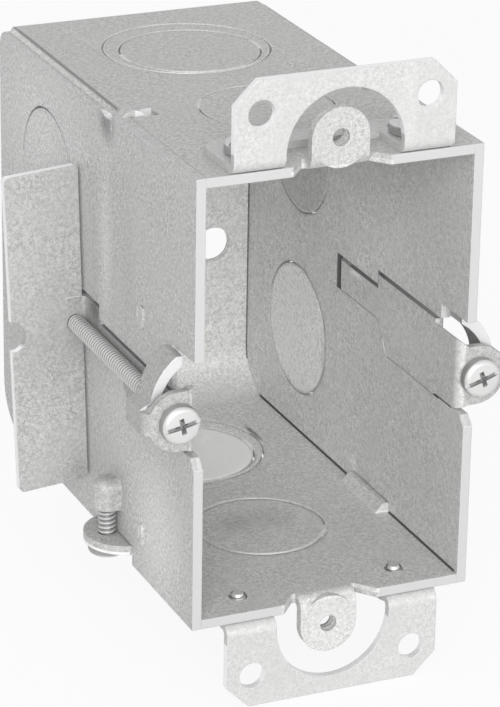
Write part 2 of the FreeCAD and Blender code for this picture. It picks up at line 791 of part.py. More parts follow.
def make_ear():
    """The top ear, in the box's frame."""
    body = new_body("ear_top")
    thick, bend = size("ear_gauge"), size("ear_bend")
    outer = bend + thick
    wide, top = size("ear_half_wide"), half_high + size("ear_rise")
    face, foot_rear = rim - size("ear_lead"), rim + size("ear_foot_back")
    section = new_sketch(body, "YZ_Plane", "ear_section", -wide)
    outline(section, [
        (face, half_high + outer),
        (face + outer, half_high, outer, 1),
        (foot_rear, half_high),
        (foot_rear, half_high + thick),
        (face + outer, half_high + thick),
        (face + thick, half_high + outer, bend, -1),
        (face + thick, top),
        (face, top),
    ])
    pad(body, "angle", section, wide * 2)

    face_cut = new_sketch(body, "XZ_Plane", "ear_face_outline", -face + PAST)
    for side in (1, -1):
        outline(face_cut, [
            ((wide - size("ear_corner_in")) * side, top),
            (wide * side, top - size("ear_corner_down")),
            ((wide + PAST) * side, top - size("ear_corner_down")),
            ((wide + PAST) * side, top + PAST),
            ((wide - size("ear_corner_in")) * side, top + PAST),
        ])
        disc(face_cut, size("ear_hole_out") * side, half_high + size("ear_hole_rise"),
             size("ear_hole_radius"))
    pocket(body, "ear_face_cuts", face_cut, thick + PAST * 2)

    r, up = size("ear_arch_radius"), half_high + size("ear_arch_rise")
    arch = new_sketch(body, "XZ_Plane", "ear_arch_outline", -face + PAST)
    under = half_high - PAST
    outline(arch, [(r, up), (0, up + r, r, 1), (-r, up, r, 1), (-r, under), (r, under)])
    pocket(body, "ear_arch", arch, size("ear_lead") + size("ear_arch_back") + PAST)

    foot_cut = new_sketch(body, "XY_Plane", "ear_foot_outline", half_high + thick + PAST)
    corner = size("ear_foot_corner")
    slot_half = fit_radius + size("ear_slot_play")
    travel_half = (size("ear_travel_out") + size("ear_travel_in")) / 2
    slot_middle = rim + size("ear_screw_back") + travel_half - size("ear_travel_in")
    for side in (1, -1):
        outline(foot_cut, [
            ((wide - corner) * side, foot_rear),
            (wide * side, foot_rear - corner),
            ((wide + PAST) * side, foot_rear - corner),
            ((wide + PAST) * side, foot_rear + PAST),
            ((wide - corner) * side, foot_rear + PAST),
        ])
        stadium(foot_cut, size("ear_screw_out") * side, slot_middle, slot_half,
                slot_half + travel_half, upright=True)
    pocket(body, "ear_foot_cuts", foot_cut, thick + PAST * 2)
    return body


# Screws: pan head, plain shank, one recess

def make_screw(label, length):
    """A pan-head screw along +Z, its head's underside at Z = 0 and its shank below."""
    body = new_body(label)
    length = as_size(length)
    profile = new_sketch(body, "XZ_Plane", label + "_section", 0)
    head, high, edge = size("head_radius"), size("head_high"), size("head_edge_high")
    shank, tip = size("shank_radius"), size("tip_chamfer")
    outline(profile, [
        (0, -length),
        (shank - tip, -length),
        (shank, tip - length),
        (shank, 0),
        (head, 0),
        (head, edge),
        (head - size("head_shoulder"), high),
        (0, high),
    ])
    turned = body.newObject("PartDesign::Revolution", label + "_turned")
    turned.Profile = profile
    turned.ReferenceAxis = (profile, ["V_Axis"])
    turned.Angle = 360
    doc.recompute()
    recess = new_sketch(body, "XY_Plane", label + "_recess_outline", high + PAST)
    half, arm = size("recess_wide") / 2, size("recess_reach")
    outline(recess, [
        (half, half), (half, arm), (-half, arm), (-half, half), (-arm, half), (-arm, -half),
        (-half, -half), (-half, -arm), (half, -arm), (half, -half), (arm, -half), (arm, half),
    ])
    pocket(body, label + "_recess", recess, size("recess_deep") + PAST)
    return body


def place(item, x, y, z, axis, angle):
    """Puts a piece where it belongs, with its place following the sheet."""
    item.Placement = FreeCAD.Placement(FreeCAD.Vector(0, 0, 0), FreeCAD.Rotation(axis, angle))
    for letter, value in (("x", x), ("y", y), ("z", z)):
        item.setExpression("Placement.Base." + letter, as_size(value).formula)


def mirror(source, label, normal):
    """The mirror image of a piece through a plane at the origin."""
    twin = doc.addObject("Part::Mirroring", label)
    twin.Label = label
    twin.Source = source
    twin.Normal = normal
    return twin


ALONG_X = FreeCAD.Vector(1, 0, 0)
ALONG_Z = FreeCAD.Vector(0, 0, 1)

pieces = [make_box_body()]
pieces.append(make_side_plate("side_plate_left", "left"))
pieces.append(mirror(make_side_plate("side_plate_pattern", "right"), "side_plate_right", ALONG_X))
pieces.append(make_clamp("clamp_left", "left"))
pieces.append(mirror(make_clamp("clamp_pattern", "right"), "clamp_right", ALONG_X))
ear = make_ear()
pieces += [ear, mirror(ear, "ear_bottom", ALONG_Z)]

for side, side_name in ((-1, "left"), (1, "right")):
    for level, level_name, turn in ((1, "top", 0), (-1, "bottom", 180)):
        screw = make_screw("ear_screw_%s_%s" % (level_name, side_name), size("ear_screw_long"))
        place(screw, size("ear_screw_out") * side, rim + size("ear_screw_back"),
              (half_high + size("ear_gauge") + size("ear_seat_gap")) * level, ALONG_X, turn)
        pieces.append(screw)
    clamp_long = size("wing_back") - size("lug_back") + size("clamp_gauge") + size("clamp_screw_over")
    clamp_screw = make_screw("clamp_screw_" + side_name, clamp_long)
    screw_out = clamp_screw_out + size(side_name + "_clamp_out")
    place(clamp_screw, screw_out * side, rim + size("lug_back"), clamp_mid, ALONG_X, 90)
    gang_screw = make_screw("gang_screw_" + side_name, size("gang_long"))
    place(gang_screw, gang_out * side, rim + size("gang_back"), tongue_low, ALONG_X, 180)
    pieces += [clamp_screw, gang_screw]

doc.recompute()
for item in doc.Objects:
    if "Invalid" in item.State or "Error" in item.State:
        raise RuntimeError("%s is not up to date: %s" % (item.Name, item.State))
os.makedirs("parts", exist_ok=True)
for piece in pieces:
    if piece.Shape.isNull() or not piece.Shape.isValid():
        raise RuntimeError("%s has no valid shape" % piece.Label)
    print("%-26s solids %d volume %9.2f" % (piece.Label, len(piece.Shape.Solids), piece.Shape.Volume))
    piece.Shape.exportStep("parts/%s.step" % piece.Label)
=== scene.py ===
"""Dressed model of a gangable sheet-steel switch box with sliding ears and side clamps."""
from __future__ import annotations

import json
import logging
import math
from dataclasses import dataclass, field
from enum import Enum

import bpy
from mathutils import Matrix, Vector

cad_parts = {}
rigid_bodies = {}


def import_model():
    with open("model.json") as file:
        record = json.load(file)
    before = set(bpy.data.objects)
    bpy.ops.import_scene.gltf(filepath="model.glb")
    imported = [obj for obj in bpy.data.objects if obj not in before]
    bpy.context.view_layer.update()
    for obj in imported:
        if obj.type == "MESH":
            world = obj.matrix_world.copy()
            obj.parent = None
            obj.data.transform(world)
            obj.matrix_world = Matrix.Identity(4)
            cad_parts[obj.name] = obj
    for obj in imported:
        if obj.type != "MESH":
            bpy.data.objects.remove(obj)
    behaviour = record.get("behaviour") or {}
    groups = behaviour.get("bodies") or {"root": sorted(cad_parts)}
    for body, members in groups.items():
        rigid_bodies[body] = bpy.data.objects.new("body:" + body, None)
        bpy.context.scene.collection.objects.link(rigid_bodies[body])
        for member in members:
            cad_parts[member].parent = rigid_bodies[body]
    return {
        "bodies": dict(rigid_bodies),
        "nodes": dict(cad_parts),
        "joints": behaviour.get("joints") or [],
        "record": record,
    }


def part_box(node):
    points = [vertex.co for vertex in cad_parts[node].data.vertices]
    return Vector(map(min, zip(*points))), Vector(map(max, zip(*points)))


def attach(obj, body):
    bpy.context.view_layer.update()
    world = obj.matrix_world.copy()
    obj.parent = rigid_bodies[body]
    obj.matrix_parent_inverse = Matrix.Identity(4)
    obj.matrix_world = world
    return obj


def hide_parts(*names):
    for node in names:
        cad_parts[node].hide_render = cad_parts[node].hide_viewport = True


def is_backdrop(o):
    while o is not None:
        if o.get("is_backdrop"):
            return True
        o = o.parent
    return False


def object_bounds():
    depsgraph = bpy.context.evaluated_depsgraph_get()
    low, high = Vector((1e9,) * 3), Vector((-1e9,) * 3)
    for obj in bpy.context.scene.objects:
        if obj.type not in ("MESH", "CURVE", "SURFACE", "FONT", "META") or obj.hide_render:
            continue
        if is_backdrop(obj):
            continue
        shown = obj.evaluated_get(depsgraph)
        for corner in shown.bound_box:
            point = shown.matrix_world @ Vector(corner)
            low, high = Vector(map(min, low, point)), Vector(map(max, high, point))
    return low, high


LOG = logging.getLogger("switch_box")
MM = 0.001

Colour = tuple[float, float, float]
Point = tuple[float, float, float]


class Slot(Enum):
    """The record's material slots."""

    BOX = "box_steel"
    CLAMP = "clamp_steel"
    EAR = "ear_steel"
    SCREW = "screw_steel"


class ScrewKind(Enum):
    """The three screws of the box, named for what they hold."""

    EAR = "ear"
    CLAMP = "clamp"
    GANG = "gang"


# Shader nodes

class NodeKit:
    """Adds nodes to one tree and joins them, placing them in columns from left to right."""

    def __init__(self, tree: bpy.types.NodeTree) -> None:
        """Takes the tree that the nodes go into."""
        self.tree = tree
        self.count = 0

    def add(self, kind: str, **values: object) -> bpy.types.Node:
        """Adds one node.

        Args:
            kind: The node's type name after "ShaderNode".
            **values: Properties of the node.

        Returns:
            The new node.
        """
        node = self.tree.nodes.new("ShaderNode" + kind)
        node.location = (220 * (self.count % 9), -260 * (self.count // 9))
        self.count += 1
        for key, value in values.items():
            setattr(node, key, value)
        return node

    def join(self, start: bpy.types.NodeSocket, end: bpy.types.NodeSocket) -> None:
        """Links an output to an input."""
        self.tree.links.new(start, end)

    def feed(self, target: bpy.types.NodeSocket, value: object) -> None:
        """Puts a link or a plain value on an input.

        Args:
            target: The input socket.
            value: An output socket, or a value for the input.
        """
        if isinstance(value, bpy.types.NodeSocket):
            self.join(value, target)
        else:
            target.default_value = value

    def math(self, operation: str, *inputs: object, clamp: bool = False) -> bpy.types.NodeSocket:
        """A Math node.

        Args:
            operation: The operation's name.
            *inputs: One socket or number for each input.
            clamp: Whether the result is kept between 0 and 1.

        Returns:
            Its output.
        """
        node = self.add("Math", operation=operation, use_clamp=clamp)
        for index, value in enumerate(inputs):
            self.feed(node.inputs[index], value)
        return node.outputs[0]

    def vector(self, operation: str, *inputs: object, output: str = "Vector") -> bpy.types.NodeSocket:
        """A Vector Math node.

        Args:
            operation: The operation's name.
            *inputs: One socket or vector for each input.
            output: "Vector", or "Value" for an operation that gives a number.

        Returns:
            That output.
        """
        node = self.add("VectorMath", operation=operation)
        for index, value in enumerate(inputs):
            self.feed(node.inputs[index], value)
        return node.outputs[output]

    def axes(self, vector: bpy.types.NodeSocket) -> bpy.types.bpy_prop_collection:
        """The X, Y and Z outputs of a split vector."""
        node = self.add("SeparateXYZ")
        self.join(vector, node.inputs[0])
        return node.outputs

    def ramp(self, value: object, low: object, high: object, to_low: float = 0.0,
             to_high: float = 1.0) -> bpy.types.NodeSocket:
        """A smooth step from one value to another.

        Args:
            value: The socket that is read.
            low: Where the step starts.
            high: Where the step ends.
            to_low: The value at the start.
            to_high: The value at the end.

        Returns:
            The stepped value.
        """
        node = self.add("MapRange", interpolation_type="SMOOTHSTEP")
        for name, number in (("Value", value), ("From Min", low), ("From Max", high),
                             ("To Min", to_low), ("To Max", to_high)):
            self.feed(node.inputs[name], number)
        return node.outputs[0]

    def noise(self, vector: object, scale: object, detail: float, rough: float) -> bpy.types.NodeSocket:
        """The value of a Noise Texture.

        Args:
            vector: Where it is read.
            scale: Its scale, a socket or a number.
            detail: Its octaves.
            rough: Its roughness.

        Returns:
            The noise, from 0 to 1.
        """
        node = self.add("TexNoise", noise_dimensions="3D")
        for name, value in (("Vector", vector), ("Scale", scale), ("Detail", detail), ("Roughness", rough)):
            self.feed(node.inputs[name], value)
        return node.outputs["Fac"]

    def tint(self, factor: object, first: object, second: object,
             blend: str = "MIX") -> bpy.types.NodeSocket:
        """A colour Mix node.

        Args:
            factor: How much of the second colour.
            first: The first colour.
            second: The second colour.
            blend: The blend type.

        Returns:
            The mixed colour.
        """
        node = self.add("Mix", data_type="RGBA", blend_type=blend)
        self.feed(node.inputs[0], factor)
        self.feed(node.inputs[6], first)
        self.feed(node.inputs[7], second)
        return node.outputs[2]


def rgba(colour: Colour, factor: float = 1.0) -> tuple[float, float, float, float]:
    """A colour made lighter or darker by a factor, with full alpha."""
    return (*(min(channel * factor, 1.0) for channel in colour), 1.0)


def grey(level: float) -> tuple[float, float, float, float]:
    """A neutral colour with full alpha."""
    return rgba((level, level, level))


class Effects:
    """Node groups that the finishes share, each built once."""

    def __init__(self) -> None:
        """Builds every group."""
        self.zinc_grain = self._zinc_grain()
        self.edge_round_and_sheen = self._edge_round_and_sheen()
        self.facing_light_mask = self._facing_light_mask()
        self.handling = self._handling()
        self.soft_form = self._soft_form()
        self.ring_lip = self._ring_lip()
        self.hollow = self._hollow()
        self.turned = self._turned()

    @staticmethod
    def _group(name: str, inputs: dict[str, float | None], numbers: tuple[str, ...],
               vectors: tuple[str, ...] = ()) -> tuple[NodeKit, object, object]:
        """An empty group with its sockets.

        Args:
            name: The group's name.
            inputs: First value of each number, and nothing for each vector.
            numbers: Names of the outputs that are numbers.
            vectors: Names of the outputs that are vectors.

        Returns:
            The group's node kit, the sockets that it reads and the sockets that it fills.
        """
        group = bpy.data.node_groups.new(name, "ShaderNodeTree")
        for label, value in inputs.items():
            kind = "NodeSocketVector" if value is None else "NodeSocketFloat"
            socket = group.interface.new_socket(label, in_out="INPUT", socket_type=kind)
            if value is not None:
                socket.default_value = value
        for labels, kind in ((numbers, "NodeSocketFloat"), (vectors, "NodeSocketVector")):
            for label in labels:
                group.interface.new_socket(label, in_out="OUTPUT", socket_type=kind)
        start = group.nodes.new("NodeGroupInput")
        end = group.nodes.new("NodeGroupOutput")
        start.location, end.location = (-260, 0), (2200, 0)
        return NodeKit(group), start.outputs, end.inputs

    def _zinc_grain(self) -> bpy.types.NodeTree:
        """The fine grain and soft clouds of a dull zinc coat on rolled sheet."""
        kit, read, fill = self._group(
            "zinc grain", {"Vector": None, "Grain Per Metre": 3400.0, "Clouds Per Metre": 140.0},
            ("Grain", "Clouds", "Height"))
        fine_share, coarse_scale = 0.65, 0.37
        fine = kit.noise(read["Vector"], read["Grain Per Metre"], 2.0, 0.7)
        coarse = kit.noise(read["Vector"], kit.math("MULTIPLY", read["Grain Per Metre"], coarse_scale),
                           1.0, 0.5)
        clouds = kit.noise(read["Vector"], read["Clouds Per Metre"], 3.0, 0.55)
        grain = kit.math("ADD", kit.math("MULTIPLY", fine, fine_share),
                         kit.math("MULTIPLY", coarse, 1.0 - fine_share))
        kit.join(kit.ramp(grain, 0.32, 0.68), fill["Grain"])
        kit.join(kit.ramp(clouds, 0.3, 0.7), fill["Clouds"])
        kit.join(grain, fill["Height"])
        return kit.tree

    def _edge_round_and_sheen(self) -> bpy.types.NodeTree:
        """Rounded normals at the edges, and a broken mask of the edges that get a painted highlight."""
        kit, read, fill = self._group("edge round and sheen", {"Vector": None, "Edge Radius": 0.0002}, ("Mask",),
                                      ("Normal",))
        flat_cosine, edge_cosine = 0.999, 0.93
        patches_per_metre, least_sheen = 900.0, 0.45
        bevel = kit.add("Bevel", samples=4)
        kit.join(read["Edge Radius"], bevel.inputs["Radius"])
        face = kit.add("NewGeometry").outputs["Normal"]
        cosine = kit.vector("DOT_PRODUCT", bevel.outputs[0], face, output="Value")
        broken = kit.noise(read["Vector"], patches_per_metre, 2.0, 0.6)
        mask = kit.math("MULTIPLY", kit.ramp(cosine, flat_cosine, edge_cosine),
                        kit.ramp(broken, 0.3, 0.62, least_sheen, 1.0), clamp=True)
        kit.join(mask, fill["Mask"])
        kit.join(bevel.outputs[0], fill["Normal"])
        return kit.tree

    def _facing_light_mask(self) -> bpy.types.NodeTree:
        """A mask of the sheared faces that get painted highlights and painted shade, chosen by the way that
        they face and the space that they lie in.

        Both are folded over, so that left and right, and top and bottom, are treated alike.
        """
        kit, read, fill = self._group(
            "cut faces painted light", dict.fromkeys(("Position", "Normal", "Facing", "Centre", "Half")), ("Mask",))
        first_cosine, full_cosine = 0.55, 0.85
        cosine = kit.vector("DOT_PRODUCT", self._folded(kit, read["Normal"], True), read["Facing"],
                            output="Value")
        away = kit.vector("SUBTRACT", self._folded(kit, read["Position"], True), read["Centre"])
        inside = self._inside(kit, kit.axes(kit.vector("DIVIDE", away, read["Half"])))
        kit.join(kit.math("MULTIPLY", kit.ramp(cosine, first_cosine, full_cosine), inside), fill["Mask"])
        return kit.tree

    def _soft_form(self) -> bpy.types.NodeTree:
        """A soft round swelling, 1 at its centre and 0 at its reach, alike on the left and the right."""
        kit, read, fill = self._group(
            "soft form", {"Position": None, "Centre": None, "Reach": None, "Firm": 0.0}, ("Swell",))
        away = kit.vector("SUBTRACT", self._folded(kit, read["Position"], False), read["Centre"])
        share = kit.vector("LENGTH", kit.vector("DIVIDE", away, read["Reach"]), output="Value")
        kit.join(kit.ramp(share, 1.0, read["Firm"]), fill["Swell"])
        return kit.tree

    def _ring_lip(self) -> bpy.types.NodeTree:
        """The edges of a knockout's ring slot, rounded down into it, with a painted highlight along them.
        """
        kit, read, fill = self._group(
            "ring lip", {"Position": None, "Centre": None, "Flat": None, "Radius": 0.012,
                         "Slot": 0.00017, "Wide": 0.0005}, ("Height", "Mask"))
        away = kit.vector("SUBTRACT", read["Position"], read["Centre"])
        radius = kit.vector("LENGTH", kit.vector("MULTIPLY", away, read["Flat"]), output="Value")
        off = kit.math("ABSOLUTE", kit.math("SUBTRACT", radius, read["Radius"]))
        height = kit.ramp(kit.math("SUBTRACT", off, read["Slot"]), 0.0, read["Wide"])
        kit.join(height, fill["Height"])
        kit.join(kit.math("SUBTRACT", 1.0, height), fill["Mask"])
        return kit.tree

    def _hollow(self) -> bpy.types.NodeTree:
        """A mask of the box's inside, which gets painted light, and how deep a place lies in it."""
        kit, read, fill = self._group("hollow", {"Position": None, "Half": None}, ("Inside", "Depth"))
        share = kit.axes(kit.vector("DIVIDE", read["Position"], read["Half"]))
        kit.join(self._inside(kit, share), fill["Inside"])
        kit.join(kit.ramp(kit.math("ABSOLUTE", share["Y"]), 0.0, 1.0), fill["Depth"])
        return kit.tree

    def _turned(self) -> bpy.types.NodeTree:
        """Masks for a turned screw along its own Z axis where shade is painted: thread roots, head flank
        and recess.
        """
        kit, read, fill = self._group(
            "turned screw", {"Position": None, "Root Radius": 0.0012, "Crest Radius": 0.0015,
                             "Flank Radius": 0.0031, "Recess Floor": 0.0018},
            ("Roots", "Flank", "Recess"))
        root_share, recess_share = 0.8, 0.75
        hair, over_seat = 0.00005, 0.0002
        axes = kit.axes(read["Position"])
        square = kit.math("MULTIPLY_ADD", axes["Y"], axes["Y"], kit.math("MULTIPLY", axes["X"], axes["X"]))
        radius = kit.math("SQRT", square)
        low = kit.math("MULTIPLY_ADD", read["Crest Radius"], 1.0 - root_share,
                       kit.math("MULTIPLY", read["Root Radius"], root_share))
        outside_tip = kit.math("GREATER_THAN", radius, kit.math("SUBTRACT", read["Root Radius"], hair))
        roots = kit.math("MULTIPLY", kit.ramp(radius, read["Crest Radius"], low), outside_tip)
        below = kit.math("LESS_THAN", axes["Z"], -hair)
        kit.join(kit.math("MULTIPLY", roots, below), fill["Roots"])
        sunk = kit.math("MULTIPLY", kit.math("GREATER_THAN", axes["Z"], over_seat),
                        kit.math("LESS_THAN", axes["Z"], read["Recess Floor"]))
        near = kit.math("LESS_THAN", radius, kit.math("MULTIPLY", read["Flank Radius"], recess_share))
        kit.join(kit.math("MULTIPLY", sunk, near), fill["Recess"])
        kit.join(kit.math("GREATER_THAN", radius, read["Flank Radius"]), fill["Flank"])
        return kit.tree

    def _handling(self) -> bpy.types.NodeTree:
        """Faint straight scuffs from rolling and handling, as long thin streaks."""
        kit, read, fill = self._group("handling scuffs", {"Vector": None, "Per Metre": 260.0}, ("Scuffs",))
        stretches, turn = ((1.0, 0.06, 0.4), (0.5, 0.8, 0.05)), (0.1, 0.2, 0.06)
        total = 0.0
        for stretch in stretches:
            mapping = kit.add("Mapping")
            kit.join(read["Vector"], mapping.inputs["Vector"])
            mapping.inputs["Scale"].default_value = stretch
            mapping.inputs["Rotation"].default_value = turn
            streak = kit.noise(mapping.outputs[0], read["Per Metre"], 4.0, 0.6)
            total = kit.math("MAXIMUM", total, kit.ramp(streak, 0.62, 0.72))
        kit.join(total, fill["Scuffs"])
        return kit.tree

    @staticmethod
    def _folded(kit: NodeKit, vector: bpy.types.NodeSocket, both: bool) -> bpy.types.NodeSocket:
        """A vector with its X made positive, and its Z too where both are folded.

        Args:
            kit: The group's node kit.
            vector: The vector.
            both: Whether Z is folded as well.

        Returns:
            The folded vector.
        """
        axes = kit.axes(vector)
        height = kit.math("ABSOLUTE", axes["Z"]) if both else axes["Z"]
        joined = kit.add("CombineXYZ")
        for name, value in (("X", kit.math("ABSOLUTE", axes["X"])), ("Y", axes["Y"]), ("Z", height)):
            kit.join(value, joined.inputs[name])
        return joined.outputs[0]

    @staticmethod
    def _inside(kit: NodeKit, share: bpy.types.bpy_prop_collection) -> bpy.types.NodeSocket:
        """A mask of a block, from a place's share of the block's half size along each axis.

        Args:
            kit: The group's node kit.
            share: The split vector of shares.

        Returns:
            1 inside the block and 0 outside it.
        """
        furthest = 0.0
        for name in "XYZ":
            furthest = kit.math("MAXIMUM", furthest, kit.math("ABSOLUTE", share[name]))
        return kit.math("LESS_THAN", furthest, 1.0)


# Finishes

@dataclass(frozen=True)
class CutFaceLight:
    """Faces of a sheet's edge and the grey of their painted highlight or painted shade, in millimetres,
    folded to one quarter of the box.
    """

    facing: Point
    low: Point
    high: Point
    level: float = 0.86

    def inputs(self) -> dict[str, object]:
        """The inputs of the cut-faces group, in metres."""
        low, high = Vector(self.low) * MM, Vector(self.high) * MM
        return {"Facing": self.facing, "Centre": (low + high) / 2.0, "Half": (high - low) / 2.0}


@dataclass(frozen=True)
class SoftForm:
    """A shallow pressed place with painted light and shade on it, in millimetres: how far it stands out,
    and how much lighter or darker it is painted.

    A firm one has a flat top, which ends at that share of its reach.
    """

    centre: Point
    reach: Point
    rise: float = 0.0
    tone: float = 0.0
    firm: float = 0.0


@dataclass(frozen=True)
class RingLip:
    """The rounded edges of one knockout's ring, in millimetres, in the plane that flat keeps, with a
    painted highlight along them.
    """

    centre: Point
    flat: Point
    radius: float
    rise: float = 0.25
    tone: float = 0.3


@dataclass(frozen=True)
class HollowLight:
    """The inside of the box in millimetres, and the painted light on it at the front and the back."""

    half: Point = (23.6, 87.7, 37.3)
    front_tone: float = 0.2
    back_tone: float = 0.5


@dataclass(frozen=True)
class ScrewShade:
    """Where a turned screw gets painted shade, in millimetres: in the thread, on the flank and in the
    recess.
    """

    root_radius: float = 1.2
    crest_radius: float = 1.5
    flank_radius: float = 3.18
    recess_floor: float = 1.85
    root_tone: float = -0.66
    flank_tone: float = -0.42
    recess_tone: float = -0.5


@dataclass(frozen=True)
class SteelFinish:
    """Zinc-coated steel sheet, or plated steel where the grain is finer."""

    name: str
    slot: Slot
    colour: Colour
    metal: float = 0.25
    rough: float = 0.55
    cut_rough: float = 0.38
    grain_per_metre: float = 4200.0
    clouds_per_metre: float = 140.0
    grain_depth: float = 0.000026
    grain_tint: float = 0.2
    cloud_tint: float = 0.05
    # Edges are rounded by the radius and get a painted highlight through the share and level; the level
    # also lightens the scuffs
    edge_radius: float = 0.00022
    edge_sheen_share: float = 0.35
    sheen_and_scuff_level: float = 0.86
    scuff_share: float = 0.05
    rough_spread: tuple[float, float] = (0.08, -0.06)
    scuff_rough: float = -0.05
    # Sheared faces painted as highlight and shade, pressed places and ring lips with painted light and
    # shade, painted light inside, painted shade on screws
    cut_light_and_shade: tuple[CutFaceLight, ...] = ()
    forms: tuple[SoftForm, ...] = ()
    rings: tuple[RingLip, ...] = ()
    hollow: HollowLight | None = None
    screw_shade: ScrewShade | None = None

    def material(self, effects: Effects) -> bpy.types.Material:
        """Builds the material.

        Args:
            effects: The shared node groups.

        Returns:
            The material, with its shader in it.
        """
        made = bpy.data.materials.new(self.name)
        made.use_nodes = True
        made.node_tree.nodes.clear()
        kit = NodeKit(made.node_tree)
        place = kit.add("TexCoord")
        here = place.outputs["Object"]
        grain = self._group(kit, effects.zinc_grain, {
            "Vector": here, "Grain Per Metre": self.grain_per_metre,
            "Clouds Per Metre": self.clouds_per_metre})
        edge = self._group(kit, effects.edge_round_and_sheen, {"Vector": here, "Edge Radius": self.edge_radius})
        scuffs = self._group(kit, effects.handling, {"Vector": here})

        coat = kit.tint(grain.outputs["Grain"], rgba(self.colour, 1.0 - self.grain_tint * 2.0),
                        rgba(self.colour, 1.0 + self.grain_tint))
        coat = kit.tint(kit.math("MULTIPLY", grain.outputs["Clouds"], 0.5), coat,
                        rgba(self.colour, 1.0 - self.cloud_tint * 2.0))
        colour = kit.tint(kit.math("MULTIPLY", scuffs.outputs["Scuffs"], self.scuff_share), coat,
                          grey(self.sheen_and_scuff_level))
        rise, tone = self._forms(kit, effects, here)
        # Painted light and shade of the soft forms, ring lips, inside and screw masks, multiplied into the
        # colour
        colour = kit.tint(1.0, colour, kit.math("ADD", tone, 1.0), "MULTIPLY")
        # Painted highlight along the rounded edges, and sheared faces painted as highlight and shade
        edge_sheen = kit.math("MULTIPLY", edge.outputs["Mask"], self.edge_sheen_share)
        bare = edge_sheen
        for cut in self.cut_light_and_shade:
            mask = self._group(kit, effects.facing_light_mask, {
                "Position": here, "Normal": place.outputs["Normal"], **cut.inputs()}).outputs["Mask"]
            colour = kit.tint(mask, colour, grey(cut.level))
            bare = kit.math("MAXIMUM", bare, mask)
        colour = kit.tint(edge_sheen, colour, grey(self.sheen_and_scuff_level))
        rough = kit.ramp(grain.outputs["Grain"], 0.0, 1.0, self.rough + self.rough_spread[0],
                         self.rough + self.rough_spread[1])
        rough = kit.math("MULTIPLY_ADD", scuffs.outputs["Scuffs"], self.scuff_rough, rough)
        rough = kit.math("MULTIPLY_ADD", bare, self.cut_rough - self.rough, rough)

        normal = edge.outputs["Normal"]
        if self.forms or self.rings:
            normal = self._bump(kit, MM, rise, normal)
        normal = self._bump(kit, self.grain_depth, grain.outputs["Height"], normal)
        shader = kit.add("BsdfPrincipled")
        shader.inputs["Metallic"].default_value = self.metal
        kit.join(colour, shader.inputs["Base Color"])
        kit.join(rough, shader.inputs["Roughness"])
        kit.join(normal, shader.inputs["Normal"])
        kit.join(shader.outputs[0], kit.add("OutputMaterial").inputs["Surface"])
        return made

    def _forms(self, kit: NodeKit, effects: Effects,
               here: bpy.types.NodeSocket) -> tuple[bpy.types.NodeSocket | float, ...]:
        """Adds up the pressed places, the rings, the hollow and the screw masks, and the light and shade
        painted on them.

        Args:
            kit: The material's node kit.
            effects: The shared node groups.
            here: The place on the object.

        Returns:
            Their height in millimetres and their painted light and shade.
        """
        rise, tone = 0.0, 0.0
        for form in self.forms:
            swell = self._group(kit, effects.soft_form, {
                "Position": here, "Centre": Vector(form.centre) * MM, "Reach": Vector(form.reach) * MM,
                "Firm": form.firm}).outputs["Swell"]
            rise = kit.math("MULTIPLY_ADD", swell, form.rise, rise)
            tone = kit.math("MULTIPLY_ADD", swell, form.tone, tone)
        for ring in self.rings:
            lip = self._group(kit, effects.ring_lip, {
                "Position": here, "Centre": Vector(ring.centre) * MM, "Flat": ring.flat,
                "Radius": ring.radius * MM})
            rise = kit.math("MULTIPLY_ADD", lip.outputs["Height"], ring.rise, rise)
            tone = kit.math("MULTIPLY_ADD", lip.outputs["Mask"], ring.tone, tone)
        if self.hollow is not None:
            inside = self._group(kit, effects.hollow, {
                "Position": here, "Half": Vector(self.hollow.half) * MM})
            deep = kit.math("MULTIPLY_ADD", inside.outputs["Depth"],
                            self.hollow.back_tone - self.hollow.front_tone, self.hollow.front_tone)
            tone = kit.math("MULTIPLY_ADD", inside.outputs["Inside"], deep, tone)
        if self.screw_shade is not None:
            screw_shade = self.screw_shade
            turned = self._group(kit, effects.turned, {
                "Position": here, "Root Radius": screw_shade.root_radius * MM,
                "Crest Radius": screw_shade.crest_radius * MM, "Flank Radius": screw_shade.flank_radius * MM,
                "Recess Floor": screw_shade.recess_floor * MM})
            for mask, depth in (("Recess", screw_shade.recess_tone), ("Roots", screw_shade.root_tone),
                                ("Flank", screw_shade.flank_tone)):
                tone = kit.math("MULTIPLY_ADD", turned.outputs[mask], depth, tone)
        return rise, tone

    @staticmethod
    def _bump(kit: NodeKit, distance: float, height: bpy.types.NodeSocket,
              normal: bpy.types.NodeSocket) -> bpy.types.NodeSocket:
        """A Bump node over another normal.

        Args:
            kit: The material's node kit.
            distance: How far a height of 1 stands out.
            height: The height.
            normal: The normal that it works on.

        Returns:
            The new normal.
        """
        node = kit.add("Bump")
        node.inputs["Strength"].default_value = 1.0
        node.inputs["Distance"].default_value = distance
        kit.join(height, node.inputs["Height"])
        kit.join(normal, node.inputs["Normal"])
        return node.outputs[0]

    @staticmethod
    def _group(kit: NodeKit, tree: bpy.types.NodeTree, values: dict[str, object]) -> bpy.types.Node:
        """Places a shared group in a material.

        Args:
            kit: The material's node kit.
            tree: The group.
            values: A socket or a value for each named input.

        Returns:
            The group's node.
        """
        node = kit.add("Group", node_tree=tree)
        for name, value in values.items():
            kit.feed(node.inputs[name], value)
        return node


